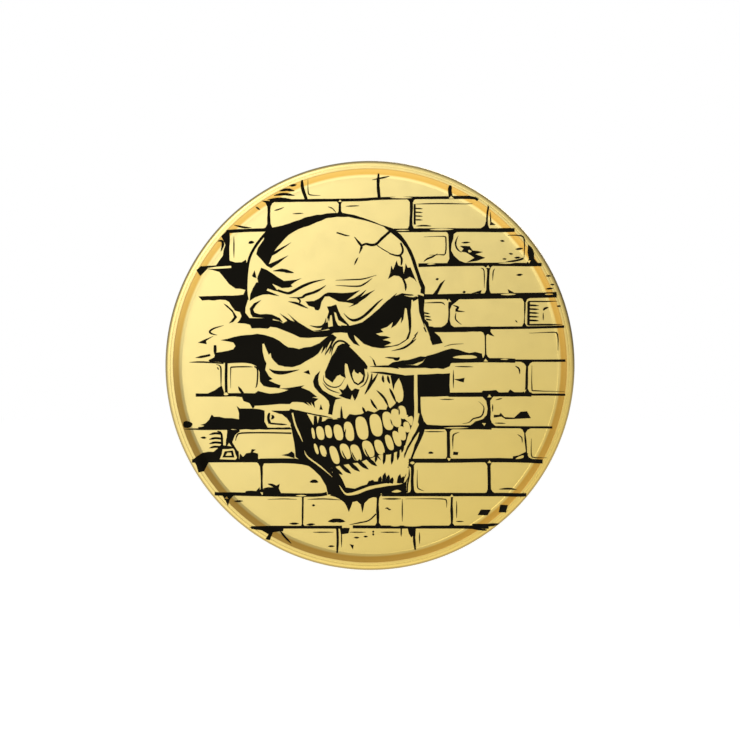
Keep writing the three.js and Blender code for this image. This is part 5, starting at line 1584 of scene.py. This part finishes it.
def slab(outline, low, high, holes=()):
    """A closed plate with an outline and holes in X and Z, between two heights in Y."""
    loops = [outline, *holes]
    flat = [Vector(p) for loop in loops for p in loop]
    starts = [sum(len(loop) for loop in loops[:i]) for i in range(len(loops))]
    edges = []
    for start, loop in zip(starts, loops):
        edges += [(start + k, start + (k + 1) % len(loop)) for k in range(len(loop))]
    faces_in = [list(range(start, start + len(loop))) for start, loop in zip(starts, loops)]
    verts, _, faces, _, _, origins = delaunay_2d_cdt(flat, [], faces_in, 1, 1e-6, True)
    kept = [face for face, origin in zip(faces, origins) if set(origin) == {0}]
    count = len(verts)
    points = [(v.x, low, v.y) for v in verts] + [(v.x, high, v.y) for v in verts]
    sides = Counter(tuple(sorted(pair)) for face in kept for pair in zip(face, face[1:] + face[:1]))
    solid = [tuple(face) for face in kept] + [tuple(v + count for v in reversed(face)) for face in kept]
    solid += [(a, b, b + count, a + count) for (a, b), uses in sides.items() if uses == 1]
    return points, solid


def union(name, solids, round_width):
    """Joins closed solids into one mesh, and eases its edges."""
    parts = []
    for number, (points, faces) in enumerate(solids):
        mesh = bpy.data.meshes.new(f"{name} {number}")
        mesh.from_pydata([tuple(c * MM for c in p) for p in points], [], faces)
        bm = bmesh.new()
        bm.from_mesh(mesh)
        bmesh.ops.recalc_face_normals(bm, faces=bm.faces)
        bmesh.ops.dissolve_limit(bm, angle_limit=0.01, verts=bm.verts, edges=bm.edges)
        bm.to_mesh(mesh)
        bm.free()
        part = bpy.data.objects.new(f"{name} {number}", mesh)
        bpy.context.scene.collection.objects.link(part)
        parts.append(part)
    whole = parts[0]
    for part in parts[1:]:
        join = whole.modifiers.new("join", "BOOLEAN")
        join.operation = "UNION"
        join.solver = "EXACT"
        join.object = part
    ease = whole.modifiers.new("ease", "BEVEL")
    ease.width = round_width * MM
    ease.segments = 2
    ease.limit_method = "ANGLE"
    ease.angle_limit = math.radians(40)
    depsgraph = bpy.context.evaluated_depsgraph_get()
    mesh = bpy.data.meshes.new_from_object(whole.evaluated_get(depsgraph))
    for part in parts:
        bpy.data.objects.remove(part)
    mesh.shade_smooth()
    mesh.set_sharp_from_angle(angle=math.radians(35))
    return mesh


class PIN_OT_fold_bridges(bpy.types.Operator):
    """Fold the plates that hold the wings, each with a window and two cheeks"""

    bl_idname = "pin.fold_bridges"
    bl_label = "Fold bridges"

    def execute(self, context):
        gauge = context.scene.pin_clutch.gauge
        outer = (BRIDGE_HIGH.x - BRIDGE_LOW.x) / 2
        inside = WING_WIDTH / 2 + CHEEK_GAP
        base = BRIDGE_LOW.y
        half = WINDOW_HEIGHT / 2
        window = eased([(-inside, -half), (inside, -half), (inside, half), (-inside, half)], 0.35)
        for side in SIDES:
            centre = POST_CENTRES[side]
            round_plate = [(centre.x + x, centre.z + z) for x, z in arc((0, 0), outer, 0, 360, 96)[:-1]]
            hole = [(centre.x + x, centre.z + z) for x, z in window]
            solids = [slab(round_plate, base, base + gauge, [hole])]
            for hand in (-1, 1):
                cheek = cheek_solid(centre, hand * inside, hand * (inside + gauge), base)
                solids.append(cheek)
            mesh = union(f"{side} bridge", solids, 0.05)
            make_piece(f"{side}_bridge", mesh, f"{side}_clutch", "clutch_brass", f"{side}_clutch_bridge")
        return {"FINISHED"}


def cheek_solid(centre, inner_x, outer_x, base):
    """One upstanding cheek with rounded shoulders."""
    half = CHEEK_LENGTH / 2
    top = base + CHEEK_HEIGHT
    section = [(-half, base)]
    section += [(half, base)]
    section += arc((half - 0.8, top - 0.8), 0.8, 0, 90, 8)
    section += arc((0.8 - half, top - 0.8), 0.8, 90, 180, 8)
    count = len(section)
    points = [(centre.x + x, y, centre.z + z) for x in (inner_x, outer_x) for z, y in section]
    faces = [tuple(range(count)), tuple(range(2 * count - 1, count - 1, -1))]
    faces += [(k, (k + 1) % count, (k + 1) % count + count, k + count) for k in range(count)]
    return points, faces


def wing_line(sizes, centre):
    """The upper wing's middle line in (z, y) above the post, from its jaw by the fold to its curled tip."""
    jaw = WING_LOW.z - centre.z + sizes.gauge / 2
    base = WING_LOW.y + 0.02
    fold = (jaw + 0.3, base + 0.25 + 0.85)
    corners = [
        (jaw, base),
        (jaw + 0.04, base + 0.4),
        fold,
        (fold[0] + sizes.spread * 0.22, fold[1] + sizes.rise * 0.45),
        (fold[0] + sizes.spread * 0.52, fold[1] + sizes.rise * 0.82),
        (fold[0] + sizes.spread * 0.84, fold[1] + sizes.rise),
        (fold[0] + sizes.spread, fold[1] + sizes.rise - sizes.curl * 0.35),
        (fold[0] + sizes.spread, fold[1] + sizes.rise - sizes.curl),
    ]
    return smooth_line(corners, 8)


def wing_half_width(share):
    """Half the wing's width along its line: narrow at the jaw, full at the fold, rounded at the tip."""
    half = WING_WIDTH / 2
    if share < 0.2:
        return half * (0.62 + 0.38 * math.sin(share / 0.2 * math.pi / 2))
    if share > 0.72:
        drop = (share - 0.72) / 0.28
        return half * (0.4 + 0.6 * math.sqrt(max(0.0, 1 - drop ** 2.4)))
    return half


def bent_sheet(line, centre, gauge, steps=22):
    """Points and faces of a strip of sheet along a line in (z, y), with rounded sides and a pressed rib."""
    points = []
    lengths = [0.0]
    for a, b in zip(line, line[1:]):
        lengths.append(lengths[-1] + math.dist(a, b))
    for i, (z, y) in enumerate(line):
        before = Vector(line[max(i - 1, 0)])
        after = Vector(line[min(i + 1, len(line) - 1)])
        along = (after - before).normalized()
        normal = Vector((-along.y, along.x))
        share = lengths[i] / lengths[-1]
        half = wing_half_width(share)
        for x, offset in sheet_section(half, gauge, steps, share):
            points.append((centre.x + x, y + normal.y * offset, z + normal.x * offset))
    around = len(points) // len(line)
    faces = []
    for i in range(len(line) - 1):
        a = i * around
        b = a + around
        faces += [(a + k, a + (k + 1) % around, b + (k + 1) % around, b + k) for k in range(around)]
    last = (len(line) - 1) * around
    faces += [tuple(range(around)), tuple(range(last + around - 1, last - 1, -1))]
    return points, faces


def sheet_section(half, gauge, steps, share):
    """A section across the wing: two faces, round sides, and a rib pressed up between the fold and tip."""
    rib = 0.16 * max(0.0, math.sin((share - 0.34) / 0.4 * math.pi)) if 0.34 < share < 0.74 else 0.0
    radius = gauge / 2
    flat = half - radius
    section = []
    for k in range(steps + 1):
        x = -flat + 2 * flat * k / steps
        section.append((x, radius + rib * math.exp(-(x / 0.55) ** 2)))
    section += [(flat + radius * math.sin(t), radius * math.cos(t)) for t in (0.8, 1.57, 2.34)]
    for k in range(steps, -1, -1):
        x = -flat + 2 * flat * k / steps
        section.append((x, -radius + rib * math.exp(-(x / 0.55) ** 2)))
    section += [(-flat - radius * math.sin(t), radius * math.cos(t)) for t in (2.34, 1.57, 0.8)]
    return section


class PIN_OT_bend_wings(bpy.types.Operator):
    """Bend the clutches' spring wings, an upper and a lower one on each"""

    bl_idname = "pin.bend_wings"
    bl_label = "Bend wings"

    def execute(self, context):
        sizes = context.scene.pin_clutch
        for side in SIDES:
            centre = POST_CENTRES[side]
            line = wing_line(sizes, centre)
            for level, up in (("upper", 1), ("lower", -1)):
                points, faces = bent_sheet(line, centre, sizes.gauge)
                points = [(x, y, centre.z + up * z) for x, y, z in points]
                mesh = to_mesh(f"{side} {level} wing", points, faces)
                make_piece(f"{side}_{level}_spring_wing", mesh, f"{side}_{level}_wing", "clutch_brass",
                           f"{side}_clutch_{level}_wing")
        return {"FINISHED"}


# ---- Stage --------------------------------------------------------------------------------------------------

VIEW_WIDTH = 68.6
VIEW_RISE = -0.42
LENS = 100.0
SENSOR = 36.0
FLOOR_DROP = 60.0
BRIGHT_SIDE = (-0.55, -0.55, 0.63)
BRIGHT_LIGHT = 0.83
DIM_LIGHT = 0.1


def add_light(name, place, aim, size, power, tone):
    """A soft square light at a place in millimetres, turned to face a point."""
    lamp = bpy.data.lights.new(name, "AREA")
    lamp.shape = "DISK"
    lamp.size = size * MM
    lamp.energy = power
    lamp.color = linear(tone)
    holder = bpy.data.objects.new(name, lamp)
    holder.location = Vector(place) * MM
    holder.rotation_euler = (Vector(aim) - Vector(place)).to_track_quat("-Z", "Y").to_euler()
    bpy.context.scene.collection.objects.link(holder)
    return holder


def studio_world():
    """A plain white backdrop for the camera, and a dimmer room for everything else.

    The room is brightest from the front, above and to the left, so the metal reflects a soft gradient.
    """
    world = bpy.data.worlds.new("studio")
    world.use_nodes = True
    tree = world.node_tree
    white = tree.nodes["Background"]
    white.inputs["Color"].default_value = (1.0, 1.0, 1.0, 1.0)
    white.inputs["Strength"].default_value = 1.0
    heading = add(tree, "ShaderNodeTexCoord").outputs["Generated"]
    share = add(tree, "ShaderNodeVectorMath", {0: heading, 1: BRIGHT_SIDE}, operation="DOT_PRODUCT")
    graded = add(tree, "ShaderNodeMapRange", {
        "Value": share.outputs["Value"], "From Min": -1.0, "To Min": DIM_LIGHT, "To Max": BRIGHT_LIGHT})
    room = add(tree, "ShaderNodeBackground", {"Strength": graded.outputs["Result"]})
    seen = add(tree, "ShaderNodeLightPath").outputs["Is Camera Ray"]
    both = add(tree, "ShaderNodeMixShader", {"Fac": seen, 1: room.outputs[0], 2: white.outputs[0]})
    tree.links.new(both.outputs[0], tree.nodes["World Output"].inputs["Surface"])
    return world


class PIN_OT_build_stage(bpy.types.Operator):
    """Lay the floor, and place the studio lights and the camera"""

    bl_idname = "pin.build_stage"
    bl_label = "Build stage"

    def execute(self, context):
        scene = context.scene
        half = 3000.0
        drop = DISC_LOW.z - FLOOR_DROP
        corners = [(-half, -half, drop), (half, -half, drop), (half, half, drop), (-half, half, drop)]
        mesh = bpy.data.meshes.new("floor")
        mesh.from_pydata([tuple(c * MM for c in p) for p in corners], [], [(0, 1, 2, 3)])
        floor = bpy.data.objects.new("floor", mesh)
        scene.collection.objects.link(floor)
        mesh.materials.append(get_material("floor"))

        scene.world = studio_world()
        scene.view_settings.view_transform = "Standard"

        add_light("key", (-85, -230, 95), (0, 0, 0), 120, 0.15, "#fffcf5")
        add_light("back", (120, 260, 180), (0, 0, 0), 220, 0.6, "#ffffff")

        lens = bpy.data.cameras.new("camera")
        lens.lens = LENS
        lens.sensor_width = SENSOR
        lens.clip_start = 0.01
        camera = bpy.data.objects.new("camera", lens)
        camera.location = Vector((0, CREST_Y - VIEW_WIDTH * LENS / SENSOR, VIEW_RISE)) * MM
        camera.rotation_euler = (math.radians(90), 0, 0)
        scene.collection.objects.link(camera)
        scene.camera = camera
        return {"FINISHED"}


# ---- Panel and run ------------------------------------------------------------------------------------------

class PIN_PT_panel(bpy.types.Panel):
    """The badge's sizes, finishes and steps"""

    bl_idname = "PIN_PT_panel"
    bl_label = "Enamel Pin"
    bl_space_type = "VIEW_3D"
    bl_region_type = "UI"
    bl_category = "Pin"

    def draw(self, context):
        layout = self.layout
        for group in GROUPS:
            settings = getattr(context.scene, group)
            for name in settings.bl_rna.properties.keys():
                if name not in ("rna_type", "name"):
                    layout.prop(settings, name)
        for step in STEPS:
            layout.operator(step.bl_idname)


GROUPS = {
    "pin_disc": DiscSizes,
    "pin_ink": InkSizes,
    "pin_clutch": ClutchSizes,
    "pin_finishes": Finishes,
}
STEPS = (
    PIN_OT_strike_disc,
    PIN_OT_print_enamel,
    PIN_OT_set_posts,
    PIN_OT_solder_posts,
    PIN_OT_press_cups,
    PIN_OT_fold_bridges,
    PIN_OT_bend_wings,
    PIN_OT_build_stage,
)


def register():
    for cls in (*GROUPS.values(), *STEPS, PIN_PT_panel):
        bpy.utils.register_class(cls)
    for name, cls in GROUPS.items():
        setattr(bpy.types.Scene, name, bpy.props.PointerProperty(type=cls))


def unregister():
    for name in GROUPS:
        delattr(bpy.types.Scene, name)
    for cls in reversed((*GROUPS.values(), *STEPS, PIN_PT_panel)):
        bpy.utils.unregister_class(cls)


def main():
    register()
    for step in STEPS:
        group, name = step.bl_idname.split(".")
        getattr(getattr(bpy.ops, group), name)()


if __name__ == "__main__":
    main()
